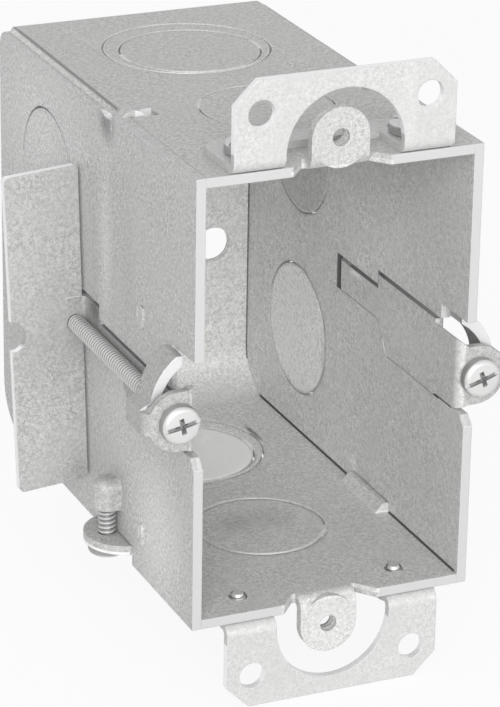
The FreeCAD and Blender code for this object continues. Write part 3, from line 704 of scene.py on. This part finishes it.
@dataclass(frozen=True)
class FloorFinish:
    """A pale matt floor that reads as white and keeps a soft shadow."""

    name: str = "pale floor"
    level: float = 0.86
    shown_white: float = 0.9

    def material(self) -> bpy.types.Material:
        """Builds the material."""
        made = bpy.data.materials.new(self.name)
        made.use_nodes = True
        made.node_tree.nodes.clear()
        kit = NodeKit(made.node_tree)
        matt = kit.add("BsdfDiffuse")
        matt.inputs["Color"].default_value = grey(self.level)
        glow = kit.add("Emission")
        glow.inputs["Color"].default_value = grey(1.0)
        glow.inputs["Strength"].default_value = 1.0
        mix = kit.add("MixShader")
        seen = kit.math("MULTIPLY", seen_rays(kit), self.shown_white)
        kit.join(seen, mix.inputs[0])
        kit.join(matt.outputs[0], mix.inputs[1])
        kit.join(glow.outputs[0], mix.inputs[2])
        kit.join(mix.outputs[0], kit.add("OutputMaterial").inputs["Surface"])
        return made


def seen_rays(kit: NodeKit) -> bpy.types.NodeSocket:
    """A mask of the rays that show a background: from the camera, from gloss and through glass.

    Args:
        kit: The node kit of the tree that needs it.

    Returns:
        1 for those rays and 0 for the others.
    """
    path = kit.add("LightPath")
    seen = kit.math("MAXIMUM", path.outputs["Is Camera Ray"], path.outputs["Is Glossy Ray"])
    return kit.math("MAXIMUM", seen, path.outputs["Is Transmission Ray"])


# The ways that a sheet's edge faces, and the greys of the edges that aren't painted bright: the rim, and
# painted shade and shadow in gaps and seams
FRONT, UP, ASIDE = (0.0, -1.0, 0.0), (0.0, 0.0, 1.0), (1.0, 0.0, 0.0)
RIM, SHADE, SEAM_SHADOW = 0.54, 0.25, 0.14

BOX_FINISH = SteelFinish(
    # Painted light on the box's inside, lighter towards the back
    "dull zinc sheet", Slot.BOX, (0.56, 0.56, 0.552), hollow=HollowLight(),
    cut_light_and_shade=(
        # Front rim, and the edges of the slots and holes behind it painted bright as a highlight
        CutFaceLight(FRONT, (8.7, -2.0, 36.2), (24.3, 3.0, 38.15), RIM),
        CutFaceLight(FRONT, (-1.0, 3.0, 36.2), (24.3, 70.0, 38.15)),
        # Round edge of the tongues, painted bright as a highlight
        CutFaceLight(ASIDE, (24.6, -2.0, 36.0), (40.0, 50.0, 40.0)),
        CutFaceLight(FRONT, (24.6, -2.0, 36.0), (40.0, 50.0, 40.0)),
        # Seams to the side plates: inside, outside, down the back, and behind the hook, painted dark as
        # shade in the joints
        CutFaceLight(UP, (22.56, 0.2, 36.2), (22.9, 80.0, 36.8), SEAM_SHADOW),
        CutFaceLight(UP, (22.66, 0.2, 37.9), (22.9, 80.0, 38.3), SHADE),
        CutFaceLight(FRONT, (22.56, 86.0, -1.0), (22.9, 88.0, 36.0), SEAM_SHADOW),
        CutFaceLight(ASIDE, (22.7, 36.0, 37.6), (22.9, 88.0, 38.2), SHADE),
    ),
    forms=(
        # Press mark in the lower cable knockout, with painted shade in it
        SoftForm((3.0, 31.0, -36.5), (7.0, 6.0, 0.8), rise=-0.16, tone=-0.22),
        # Lower pipe knockout: painted light on its disc and its ring, painted shadow on the deep side of
        # its slot
        SoftForm((0.0, 60.6, -36.5), (11.9, 11.9, 0.8), tone=0.6, firm=0.96),
        SoftForm((0.0, 62.2, -36.5), (14.1, 14.1, 0.8), tone=0.16, firm=0.96),
        SoftForm((14.7, 64.6, -36.5), (0.7, 5.0, 0.8), tone=-0.9, firm=0.4),
        # Painted highlight on the lower device tab
        SoftForm((0.0, -1.0, -43.0), (18.0, 4.0, 12.0), tone=0.22),
    ),
    rings=(
        # Pipe knockout and the smaller one in it, then the cable knockout
        RingLip((0.0, 62.2, 0.0), (1.0, 1.0, 0.0), 14.3, rise=0.25, tone=0.45),
        RingLip((0.0, 60.6, 0.0), (1.0, 1.0, 0.0), 12.0, rise=0.25, tone=0.35),
        RingLip((0.0, 28.2, 0.0), (1.0, 1.0, 0.0), 11.1, rise=0.18, tone=0.2),
    ))
SIDE_FINISH = SteelFinish(
    # Painted light on the side plates' inside, lighter towards the back
    "dull zinc side sheet", Slot.BOX, (0.57, 0.57, 0.565), hollow=HollowLight(),
    cut_light_and_shade=(
        # Front rim, and the hook's end painted bright as a highlight
        CutFaceLight(FRONT, (-1.0, -2.0, -1.0), (26.0, 0.4, 40.0), RIM),
        CutFaceLight(FRONT, (-1.0, 5.0, 37.7), (21.8, 50.0, 45.0)),
        # Walls of the clamp's window, painted dark as shadow in its gap
        CutFaceLight(UP, (22.0, 4.0, -1.0), (24.6, 52.0, 12.0), SEAM_SHADOW),
        CutFaceLight(FRONT, (22.0, 30.0, -1.0), (24.6, 52.0, 12.0), SEAM_SHADOW),
        # Seam to the folded sheet, painted dark as shade in the joint
        CutFaceLight(ASIDE, (22.7, 0.2, 36.15), (23.0, 80.0, 36.6), SEAM_SHADOW),
    ),
    forms=(
        # Dent under the hook with painted shade in it, a painted highlight as a bar above it and a painted
        # highlight line at its edge
        SoftForm((24.4, 37.0, 35.4), (0.9, 5.2, 4.6), rise=-0.50, tone=-0.5),
        SoftForm((24.4, 36.8, 37.1), (0.9, 3.0, 1.0), tone=0.9, firm=0.4),
        SoftForm((24.4, 34.8, 35.2), (0.9, 0.4, 1.6), rise=0.10, tone=0.7),
        # Shallow upright wave in the sheet below the hook: painted light on its crest and painted shade in
        # the hollow before it
        SoftForm((24.4, 38.4, 14.0), (0.9, 5.0, 24.0), rise=0.35, tone=0.20),
        SoftForm((24.4, 29.0, 12.0), (0.9, 5.0, 22.0), rise=-0.15, tone=-0.04),
        # Ovals, raised, with painted highlights on them
        SoftForm((24.4, 23.3, 7.2), (0.9, 1.5, 2.6), rise=0.35, tone=0.3),
        SoftForm((24.4, 21.7, -30.2), (0.9, 1.5, 2.6), rise=0.35, tone=0.3),
        # Painted light at the rear, low at the front and along the clamp's screw
        SoftForm((24.4, 68.0, 24.0), (0.9, 34.0, 26.0), tone=0.2),
        SoftForm((24.4, 14.0, -28.0), (0.9, 16.0, 18.0), tone=0.32),
        SoftForm((24.4, 30.0, -12.0), (0.9, 26.0, 20.0), tone=0.14),
        # Painted shade over the formed pocket over the gang screw
        SoftForm((26.0, 31.5, -26.5), (3.5, 6.0, 8.0), tone=-0.2),
        # Inside: painted light on the upper half, and the pressed places beside the pocket with a painted
        # highlight and painted shade
        SoftForm((22.8, 36.0, 12.0), (0.9, 30.0, 18.0), tone=0.14),
        SoftForm((22.8, 38.6, -33.2), (0.9, 3.6, 3.0), rise=-0.30, tone=0.2),
        SoftForm((22.8, 33.4, -34.4), (0.9, 3.0, 2.6), rise=0.20, tone=-0.2),
        # Inside: painted light on the lower knockout, painted shade at its front side and on the upper
        # knockout
        SoftForm((22.8, 64.5, -17.2), (0.9, 11.8, 11.8), tone=0.36, firm=0.96),
        SoftForm((22.8, 53.2, -17.2), (0.9, 1.3, 11.0), tone=-0.3),
        SoftForm((22.8, 64.5, 17.2), (0.9, 11.8, 11.8), tone=-0.2, firm=0.96),
    ),
    rings=(
        # Lower and upper knockout
        RingLip((0.0, 64.5, -17.2), (0.0, 1.0, 1.0), 12.0, rise=0.2, tone=0.1),
        RingLip((0.0, 64.5, 17.2), (0.0, 1.0, 1.0), 12.0, rise=0.12, tone=0.0),
    ))
CLAMP_FINISH = SteelFinish(
    # Painted light where the clamp lies inside the box
    "zinc strip", Slot.CLAMP, (0.47, 0.47, 0.464), hollow=HollowLight((24.1, 60.0, 20.0), 0.4, 0.6),
    cut_light_and_shade=(
        # Upper and outer edge of the wing and front edge of the hood painted lighter as highlights, upper
        # edge of the arm painted dark as shadow in its gap
        CutFaceLight(UP, (25.2, 43.0, 0.0), (42.0, 52.0, 40.0), 1.0),
        CutFaceLight(ASIDE, (36.0, 43.0, 0.0), (42.0, 52.0, 40.0)),
        CutFaceLight(FRONT, (23.4, 4.0, 0.0), (42.0, 9.0, 12.0), 0.66),
        CutFaceLight(UP, (22.0, 6.0, -1.0), (24.4, 44.0, 12.0), 0.3),
    ),
    forms=(
        # Neck in the window: painted shade on it from outside, and from inside a painted highlight on the
        # arm's step with painted shade below it
        SoftForm((24.3, 42.5, 1.2), (0.9, 4.5, 3.6), tone=-0.6),
        SoftForm((22.9, 41.0, 1.4), (0.6, 3.8, 0.9), rise=0.15, tone=0.7),
        SoftForm((22.9, 38.0, -1.0), (0.6, 3.8, 3.0), tone=-0.12),
        # Painted light on the lower half of the wing and on the arm's inner face
        SoftForm((31.0, 48.5, -24.0), (9.0, 5.0, 16.0), tone=0.12),
        SoftForm((22.9, 22.0, -2.0), (0.6, 18.0, 9.0), tone=0.1),
    ))
EAR_FINISH = SteelFinish(
    "bright zinc sheet", Slot.EAR, (0.585, 0.585, 0.58), rough=0.5, grain_tint=0.1, scuff_share=0.1,
    cut_light_and_shade=(
        # Outline, arch and holes of the upright plate: their upward and sideways edges painted bright as
        # highlights
        CutFaceLight(UP, (-1.0, -3.0, 41.5), (40.0, 0.5, 60.0), 0.9),
        CutFaceLight(ASIDE, (-1.0, -3.0, 41.5), (40.0, 0.5, 60.0), 0.9),
    ))
# Screws: painted shade in the thread roots, on the head's flank and in the recess
SCREW_FINISH = SteelFinish(
    "zinc-plated screw", Slot.SCREW, (0.62, 0.62, 0.615), metal=0.45, rough=0.34, cut_rough=0.26,
    grain_per_metre=5200.0, grain_depth=0.000002, grain_tint=0.02, edge_radius=0.00006,
    sheen_and_scuff_level=0.94, scuff_share=0.1, screw_shade=ScrewShade())


# Meshes

@dataclass
class Form:
    """Points and faces of one piece, in millimetres until it is placed."""

    points: list[Vector] = field(default_factory=list)
    faces: list[tuple[int, ...]] = field(default_factory=list)

    def add(self, points: list[Vector], faces: list[tuple[int, ...]]) -> None:
        """Takes more points and faces.

        Args:
            points: The new points.
            faces: The new faces, numbered from the first new point.
        """
        base = len(self.points)
        self.points += points
        self.faces += [tuple(base + index for index in face) for face in faces]

    def lathe(self, profile: list[tuple[float, float]], segments: int) -> None:
        """Turns a profile round the Z axis.

        Args:
            profile: (radius, height) from the lower end of the axis round to the upper end.
            segments: Steps round the axis.
        """
        points: list[Vector] = []
        rows: list[list[int]] = []
        for radius, height in profile:
            if radius == 0.0:
                points.append(Vector((0.0, 0.0, height)))
                rows.append([len(points) - 1] * segments)
                continue
            row = []
            for step in range(segments):
                turn = 2.0 * math.pi * step / segments
                points.append(Vector((radius * math.cos(turn), radius * math.sin(turn), height)))
                row.append(len(points) - 1)
            rows.append(row)
        faces = []
        for lower, upper in zip(rows, rows[1:]):
            for step in range(segments):
                after = (step + 1) % segments
                corners = [lower[step], lower[after], upper[after], upper[step]]
                face = tuple(dict.fromkeys(corners))
                if len(face) > 2:
                    faces.append(face)
        self.add(points, faces)

    def helix(self, inner: float, outer: float, pitch: float, low: float, high: float,
              segments: int, crest_share: float = 0.16, fade_turns: float = 0.75) -> None:
        """Winds a thread ridge round the Z axis, fading out at both ends.

        Args:
            inner: Radius of the ridge's foot.
            outer: Radius of its crest. It may be the smaller one, for a thread in a hole.
            pitch: Rise in one turn.
            low: Height of the first turn.
            high: Height of the last turn.
            segments: Steps in one turn.
            crest_share: Flat part of the crest, as a share of the pitch.
            fade_turns: Turns over which the ridge fades out.
        """
        steps = int((high - low) / pitch * segments)
        fade = segments * fade_turns
        offsets = (0.0, 0.5 - crest_share / 2.0, 0.5 + crest_share / 2.0, 1.0)
        points: list[Vector] = []
        for step in range(steps + 1):
            turn = 2.0 * math.pi * step / segments
            strength = max(0.0, min(1.0, step / fade, (steps - step) / fade))
            crest = inner + (outer - inner) * strength
            for offset, radius in zip(offsets, (inner, crest, crest, inner)):
                height = low + pitch * (step / segments + offset - 0.5)
                points.append(Vector((radius * math.cos(turn), radius * math.sin(turn),
                                      max(low, min(high, height)))))
        faces = []
        for step in range(steps):
            for column in range(len(offsets) - 1):
                first = step * len(offsets) + column
                after = first + len(offsets)
                faces.append((first, after, after + 1, first + 1))
        self.add(points, faces)

    def mesh(self, name: str, smooth_below: float) -> bpy.types.Mesh:
        """Makes the mesh in metres.

        Args:
            name: The mesh's name.
            smooth_below: Edges that turn by less than this, in degrees, are shaded smooth.

        Returns:
            The mesh.
        """
        made = bpy.data.meshes.new(name)
        made.from_pydata([point * MM for point in self.points], [], self.faces)
        made.validate()
        made.update()
        made.shade_smooth()
        made.set_sharp_from_angle(angle=math.radians(smooth_below))
        return made


def place_piece(name: str, mesh: bpy.types.Mesh, body: str, material: bpy.types.Material,
                matrix: Matrix | None = None) -> bpy.types.Object:
    """Puts a piece into the scene and ties it to its body.

    Args:
        name: The piece's name.
        mesh: Its mesh.
        body: The CAD body that carries it.
        material: Its material.
        matrix: Where it goes, or nothing where the mesh is already in place.

    Returns:
        The new object.
    """
    piece = bpy.data.objects.new(name, mesh)
    bpy.context.scene.collection.objects.link(piece)
    mesh.materials.clear()
    mesh.materials.append(material)
    if matrix is not None:
        piece.matrix_world = matrix
    bpy.context.view_layer.update()
    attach(piece, body)
    LOG.info("%s: %d faces, rides on %s", name, len(mesh.polygons), body)
    return piece


# Screws

@dataclass
class PanHead:
    """A pan head with a driver's recess, its seat at height 0."""

    radius: float = 3.25
    high: float = 2.1
    edge_high: float = 1.1
    top_radius: float = 2.35
    seat_round: float = 0.12
    shoulder_share: float = 0.9
    shoulder_steps: int = 10
    dome_radius_share: float = 0.4
    dome_drop_share: float = 0.03
    slot_half_wide: float = 0.4
    slot_deep: float = 0.65
    arm_half_wide: float = 0.55
    arm_reach: float = 1.9
    arm_deep: float = 1.2
    arm_narrow: float = 0.45
    cutter_past: float = 1.0
    segments: int = 72

    def form(self) -> Form:
        """Builds the head with the recess cut out of it.

        Returns:
            Its points and faces.
        """
        blank = Form()
        blank.lathe(self._profile(), self.segments)
        head = bpy.data.objects.new("head_blank", blank.mesh("head_blank", 40.0))
        tools = [self._slot_tool(), self._cross_tool()]
        for index, tool in enumerate([head, *tools]):
            bpy.context.scene.collection.objects.link(tool)
            if index:
                cut = head.modifiers.new("recess", "BOOLEAN")
                cut.operation = "DIFFERENCE"
                cut.solver = "EXACT"
                cut.object = tool
        graph = bpy.context.evaluated_depsgraph_get()
        cut_mesh = bpy.data.meshes.new_from_object(head.evaluated_get(graph))
        made = Form()
        made.add([vertex.co / MM for vertex in cut_mesh.vertices],
                 [tuple(polygon.vertices) for polygon in cut_mesh.polygons])
        for item in [head, *tools]:
            bpy.data.objects.remove(item, do_unlink=True)
        return made

    def _profile(self) -> list[tuple[float, float]]:
        """The head's half section, with a rounded shoulder and a slightly domed top."""
        rise = self.high - self.edge_high
        profile = [(0.0, 0.0), (self.radius - self.seat_round, 0.0), (self.radius, self.seat_round)]
        for step in range(self.shoulder_steps + 1):
            turn = math.pi / 2.0 * step / self.shoulder_steps
            across = self.top_radius + (self.radius - self.top_radius) * math.cos(turn)
            profile.append((across, self.edge_high + rise * self.shoulder_share * math.sin(turn)))
        profile.append((self.radius * self.dome_radius_share, self.high - rise * self.dome_drop_share))
        profile.append((0.0, self.high))
        return profile

    def _slot_tool(self) -> bpy.types.Object:
        """The straight slot's cutter."""
        half, reach = self.slot_half_wide, self.radius + self.cutter_past
        return self._prism("slot_tool", [(-reach, -half), (reach, -half), (reach, half), (-reach, half)],
                           self.high - self.slot_deep, self.high + self.cutter_past, 1.0)

    def _cross_tool(self) -> bpy.types.Object:
        """The cross recess's cutter, narrowing downwards."""
        half, reach = self.arm_half_wide, self.arm_reach
        outline = [(half, half), (half, reach), (-half, reach), (-half, half), (-reach, half),
                   (-reach, -half), (-half, -half), (-half, -reach), (half, -reach), (half, -half),
                   (reach, -half), (reach, half)]
        return self._prism("cross_tool", outline, self.high - self.arm_deep,
                           self.high + self.cutter_past, self.arm_narrow)

    @staticmethod
    def _prism(name: str, outline: list[tuple[float, float]], low: float, top: float,
               narrow: float) -> bpy.types.Object:
        """A straight or tapered prism.

        Args:
            name: The object's name.
            outline: Its outline at the top.
            low: Height of its foot.
            top: Height of its top.
            narrow: Size of the foot's outline against the top's.

        Returns:
            The object, not yet in the scene.
        """
        form = Form()
        count = len(outline)
        points = [Vector((x * narrow, y * narrow, low)) for x, y in outline]
        points += [Vector((x, y, top)) for x, y in outline]
        faces = [tuple(reversed(range(count))), tuple(range(count, count * 2))]
        for index in range(count):
            after = (index + 1) % count
            faces.append((index, after, count + after, count + index))
        form.add(points, faces)
        return bpy.data.objects.new(name, form.mesh(name, 10.0))


@dataclass
class Screw:
    """One threaded pan-head screw that stands for its CAD node."""

    node: str
    body: str
    kind: ScrewKind
    driver_turn: float
    shank_radius: float = 1.5
    root_radius: float = 1.2
    pitch: float = 0.84
    tip_long: float = 0.5
    tip_slope: float = 0.7
    core_past_seat: float = 0.02
    thread_below_head: float = 0.15
    segments: int = 44

    def build(self, head: PanHead, head_form: Form, material: bpy.types.Material) -> None:
        """Makes the screw and lays it where its node is.

        Args:
            head: The head's sizes.
            head_form: The head's points and faces.
            material: The screw's material.
        """
        low, high = (Vector(corner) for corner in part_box(self.node))
        middle = (low + high) / 2.0
        if self.kind is ScrewKind.CLAMP:
            outward = Vector((0.0, -1.0, 0.0))
            seat = Vector((middle.x, low.y + head.high * MM, middle.z))
            length = (high.y - low.y) / MM - head.high
        else:
            up = 1.0 if middle.z > 0.0 else -1.0
            outward = Vector((0.0, 0.0, up))
            top = high.z if up > 0.0 else low.z
            seat = Vector((middle.x, middle.y, top - up * head.high * MM))
            length = (high.z - low.z) / MM - head.high
        form = Form()
        form.add(list(head_form.points), list(head_form.faces))
        self._shank(form, length)
        turn = outward.to_track_quat("Z", "Y").to_matrix().to_4x4()
        spin = Matrix.Rotation(math.radians(self.driver_turn), 4, "Z")
        piece = place_piece(self.node + "_threaded", form.mesh(self.node + "_threaded", 35.0), self.body,
                            material, Matrix.Translation(seat) @ turn @ spin)
        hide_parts(self.node)

    def _shank(self, form: Form, length: float) -> None:
        """Adds the core, its chamfered tip and the thread.

        Args:
            form: The screw's form.
            length: Length under the head.
        """
        tip = self.root_radius - self.tip_long * self.tip_slope
        form.lathe([(0.0, -length), (tip, -length), (self.root_radius, -length + self.tip_long),
                    (self.root_radius, self.core_past_seat)], self.segments)
        form.helix(self.root_radius, self.shank_radius, self.pitch, -length + self.tip_long / 2.0,
                   -self.thread_below_head, self.segments)


@dataclass
class ScrewSet:
    """The eight screws of the box."""

    ear_turns: tuple[float, float, float, float] = (20.0, -35.0, 48.0, 10.0)
    clamp_turns: tuple[float, float] = (12.0, 18.0)
    gang_turns: tuple[float, float] = (30.0, -15.0)

    def build(self, effects: Effects) -> None:
        """Makes every screw.

        Args:
            effects: The shared node groups.
        """
        material = SCREW_FINISH.material(effects)
        head = PanHead()
        head_form = head.form()
        screws = []
        turns = iter(self.ear_turns)
        for level, place in (("upper", "top"), ("lower", "bottom")):
            for side in ("left", "right"):
                screws.append(Screw(f"ear_screw_{place}_{side}", f"{level}_{side}_ear_screw",
                                    ScrewKind.EAR, next(turns)))
        for kind, pair in ((ScrewKind.CLAMP, self.clamp_turns), (ScrewKind.GANG, self.gang_turns)):
            for side, turn in zip(("left", "right"), pair):
                screws.append(Screw(f"{kind.value}_screw_{side}", f"{side}_{kind.value}_screw", kind, turn))
        for screw in screws:
            screw.build(head, head_form, material)


# Sheet-metal sub-assemblies

@dataclass
class BoxShell:
    """The folded box and its two side plates, with the threads of the device tabs."""

    tab_hole_radius: float = 1.45
    tab_thread_deep: float = 0.2
    tab_thread_pitch: float = 0.84
    tab_thread_start: float = 0.25
    tab_thread_end: float = 2.6
    tab_thread_sunk: float = 0.02
    tab_hole_up: float = 41.67
    segments: int = 40

    def dress(self, frame: dict, effects: Effects) -> bpy.types.Material:
        """Gives the box and the side plates their finish.

        Args:
            frame: The loaded frame.
            effects: The shared node groups.

        Returns:
            The box's material.
        """
        box_material = BOX_FINISH.material(effects)
        cover(frame, "box_body", box_material)
        side_material = SIDE_FINISH.material(effects)
        for node in ("side_plate_left", "side_plate_right"):
            cover(frame, node, side_material)
        return box_material

    def build(self, material: bpy.types.Material) -> None:
        """Winds the thread in each device tab's hole.

        Args:
            material: The box's material.
        """
        for side, name in ((1.0, "top_tab_thread"), (-1.0, "bottom_tab_thread")):
            form = Form()
            form.helix(self.tab_hole_radius + self.tab_thread_sunk,
                       self.tab_hole_radius - self.tab_thread_deep, self.tab_thread_pitch,
                       self.tab_thread_start, self.tab_thread_end, self.segments)
            matrix = Matrix.Translation(Vector((0.0, 0.0, side * self.tab_hole_up * MM)))
            matrix = matrix @ Matrix.Rotation(math.radians(-90.0), 4, "X")
            place_piece(name, form.mesh(name, 40.0), "box", material, matrix)


@dataclass
class FinishedPair:
    """Two matching pieces in one finish."""

    nodes: tuple[str, str]
    finish: SteelFinish

    def dress(self, frame: dict, effects: Effects) -> None:
        """Gives both pieces their finish.

        Args:
            frame: The loaded frame.
            effects: The shared node groups.
        """
        material = self.finish.material(effects)
        for node in self.nodes:
            cover(frame, node, material)


@dataclass
class ClampPair(FinishedPair):
    """The two side clamps."""

    nodes: tuple[str, str] = ("clamp_left", "clamp_right")
    finish: SteelFinish = CLAMP_FINISH


@dataclass
class EarPair(FinishedPair):
    """The two sliding ears."""

    nodes: tuple[str, str] = ("ear_top", "ear_bottom")
    finish: SteelFinish = EAR_FINISH


def cover(frame: dict, node: str, material: bpy.types.Material) -> None:
    """Puts a material on a CAD node through its object's slots.

    Args:
        frame: The loaded frame.
        node: The node's name.
        material: The material.
    """
    item = frame["nodes"][node]
    for slot in item.material_slots:
        slot.link = "OBJECT"
        slot.material = material
    LOG.info("%s: finished in %s", node, material.name)


# Studio

@dataclass(frozen=True)
class Lamp:
    """A square soft lamp that faces the object, in metres and watts."""

    name: str
    place: Point
    wide: float
    power: float

    def hang(self) -> None:
        """Puts the lamp into the scene."""
        data = bpy.data.lights.new(self.name, "AREA")
        data.shape = "SQUARE"
        data.size = self.wide
        data.energy = self.power
        lamp = bpy.data.objects.new(self.name, data)
        bpy.context.scene.collection.objects.link(lamp)
        lamp.location = self.place
        lamp.rotation_euler = (-Vector(self.place)).to_track_quat("-Z", "Y").to_euler()


@dataclass
class Studio:
    """Pale floor, soft light and the camera of the photograph."""

    floor_gap: float = 0.0004
    floor_half: float = 4.0
    camera_place: Point = (-0.210032, -0.441907, 0.205583)
    camera_right: Point = (0.917098, -0.398365, 0.015420)
    camera_forward: Point = (0.374119, 0.846630, -0.378488)
    focal_length: float = 241.37
    sensor_wide: float = 36.0
    world_level: float = 0.5
    lamps: tuple[Lamp, ...] = (
        Lamp("key", (-0.75, -1.45, 0.7), 1.1, 22.0),
        Lamp("front", (0.05, -1.6, 0.2), 0.5, 6.5),
        Lamp("fill", (0.9, -1.3, 0.5), 1.2, 2.0),
        Lamp("top", (-0.2, 0.1, 1.5), 1.2, 1.0),
    )

    def build(self, low: Vector) -> None:
        """Makes the floor, the world, the lamps and the camera.

        Args:
            low: The object's lowest corner.
        """
        self._floor(low.z - self.floor_gap)
        self._world()
        for lamp in self.lamps:
            lamp.hang()
        self._camera()

    def _floor(self, level: float) -> None:
        """A large flat floor under the object."""
        half = self.floor_half
        mesh = bpy.data.meshes.new("floor")
        mesh.from_pydata([(-half, -half, level), (half, -half, level), (half, half, level),
                          (-half, half, level)], [], [(0, 1, 2, 3)])
        floor = bpy.data.objects.new("floor", mesh)
        bpy.context.scene.collection.objects.link(floor)
        mesh.materials.append(FloorFinish().material())
        floor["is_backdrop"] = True

    def _world(self) -> None:
        """A white surround, dimmer as light than it is shown."""
        world = bpy.data.worlds.new("surround")
        world.use_nodes = True
        world.node_tree.nodes.clear()
        kit = NodeKit(world.node_tree)
        shown = kit.ramp(seen_rays(kit), 0.0, 1.0, self.world_level, 1.0)
        back = kit.add("Background")
        back.inputs["Color"].default_value = grey(1.0)
        kit.join(shown, back.inputs["Strength"])
        kit.join(back.outputs[0], kit.add("OutputWorld").inputs["Surface"])
        bpy.context.scene.world = world

    def _camera(self) -> None:
        """The camera at the photograph's viewing angle."""
        data = bpy.data.cameras.new("camera")
        data.sensor_fit = "HORIZONTAL"
        data.sensor_width = self.sensor_wide
        data.lens = self.focal_length
        data.clip_start = 0.01
        camera = bpy.data.objects.new("camera", data)
        bpy.context.scene.collection.objects.link(camera)
        right, back = Vector(self.camera_right), -Vector(self.camera_forward)
        up = back.cross(right)
        turn = Matrix((right, up, back)).transposed().to_4x4()
        camera.matrix_world = Matrix.Translation(Vector(self.camera_place)) @ turn
        bpy.context.scene.camera = camera


def main() -> None:
    """Builds the dressed box in order."""
    logging.basicConfig(level=logging.INFO, format="%(name)s: %(message)s")
    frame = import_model()
    cad_low, cad_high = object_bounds()
    bpy.context.scene.view_settings.view_transform = "Standard"
    effects = Effects()
    shell = BoxShell()
    shell.build(shell.dress(frame, effects))
    ClampPair().dress(frame, effects)
    EarPair().dress(frame, effects)
    ScrewSet().build(effects)
    Studio().build(Vector(cad_low))


if __name__ == "__main__":
    main()
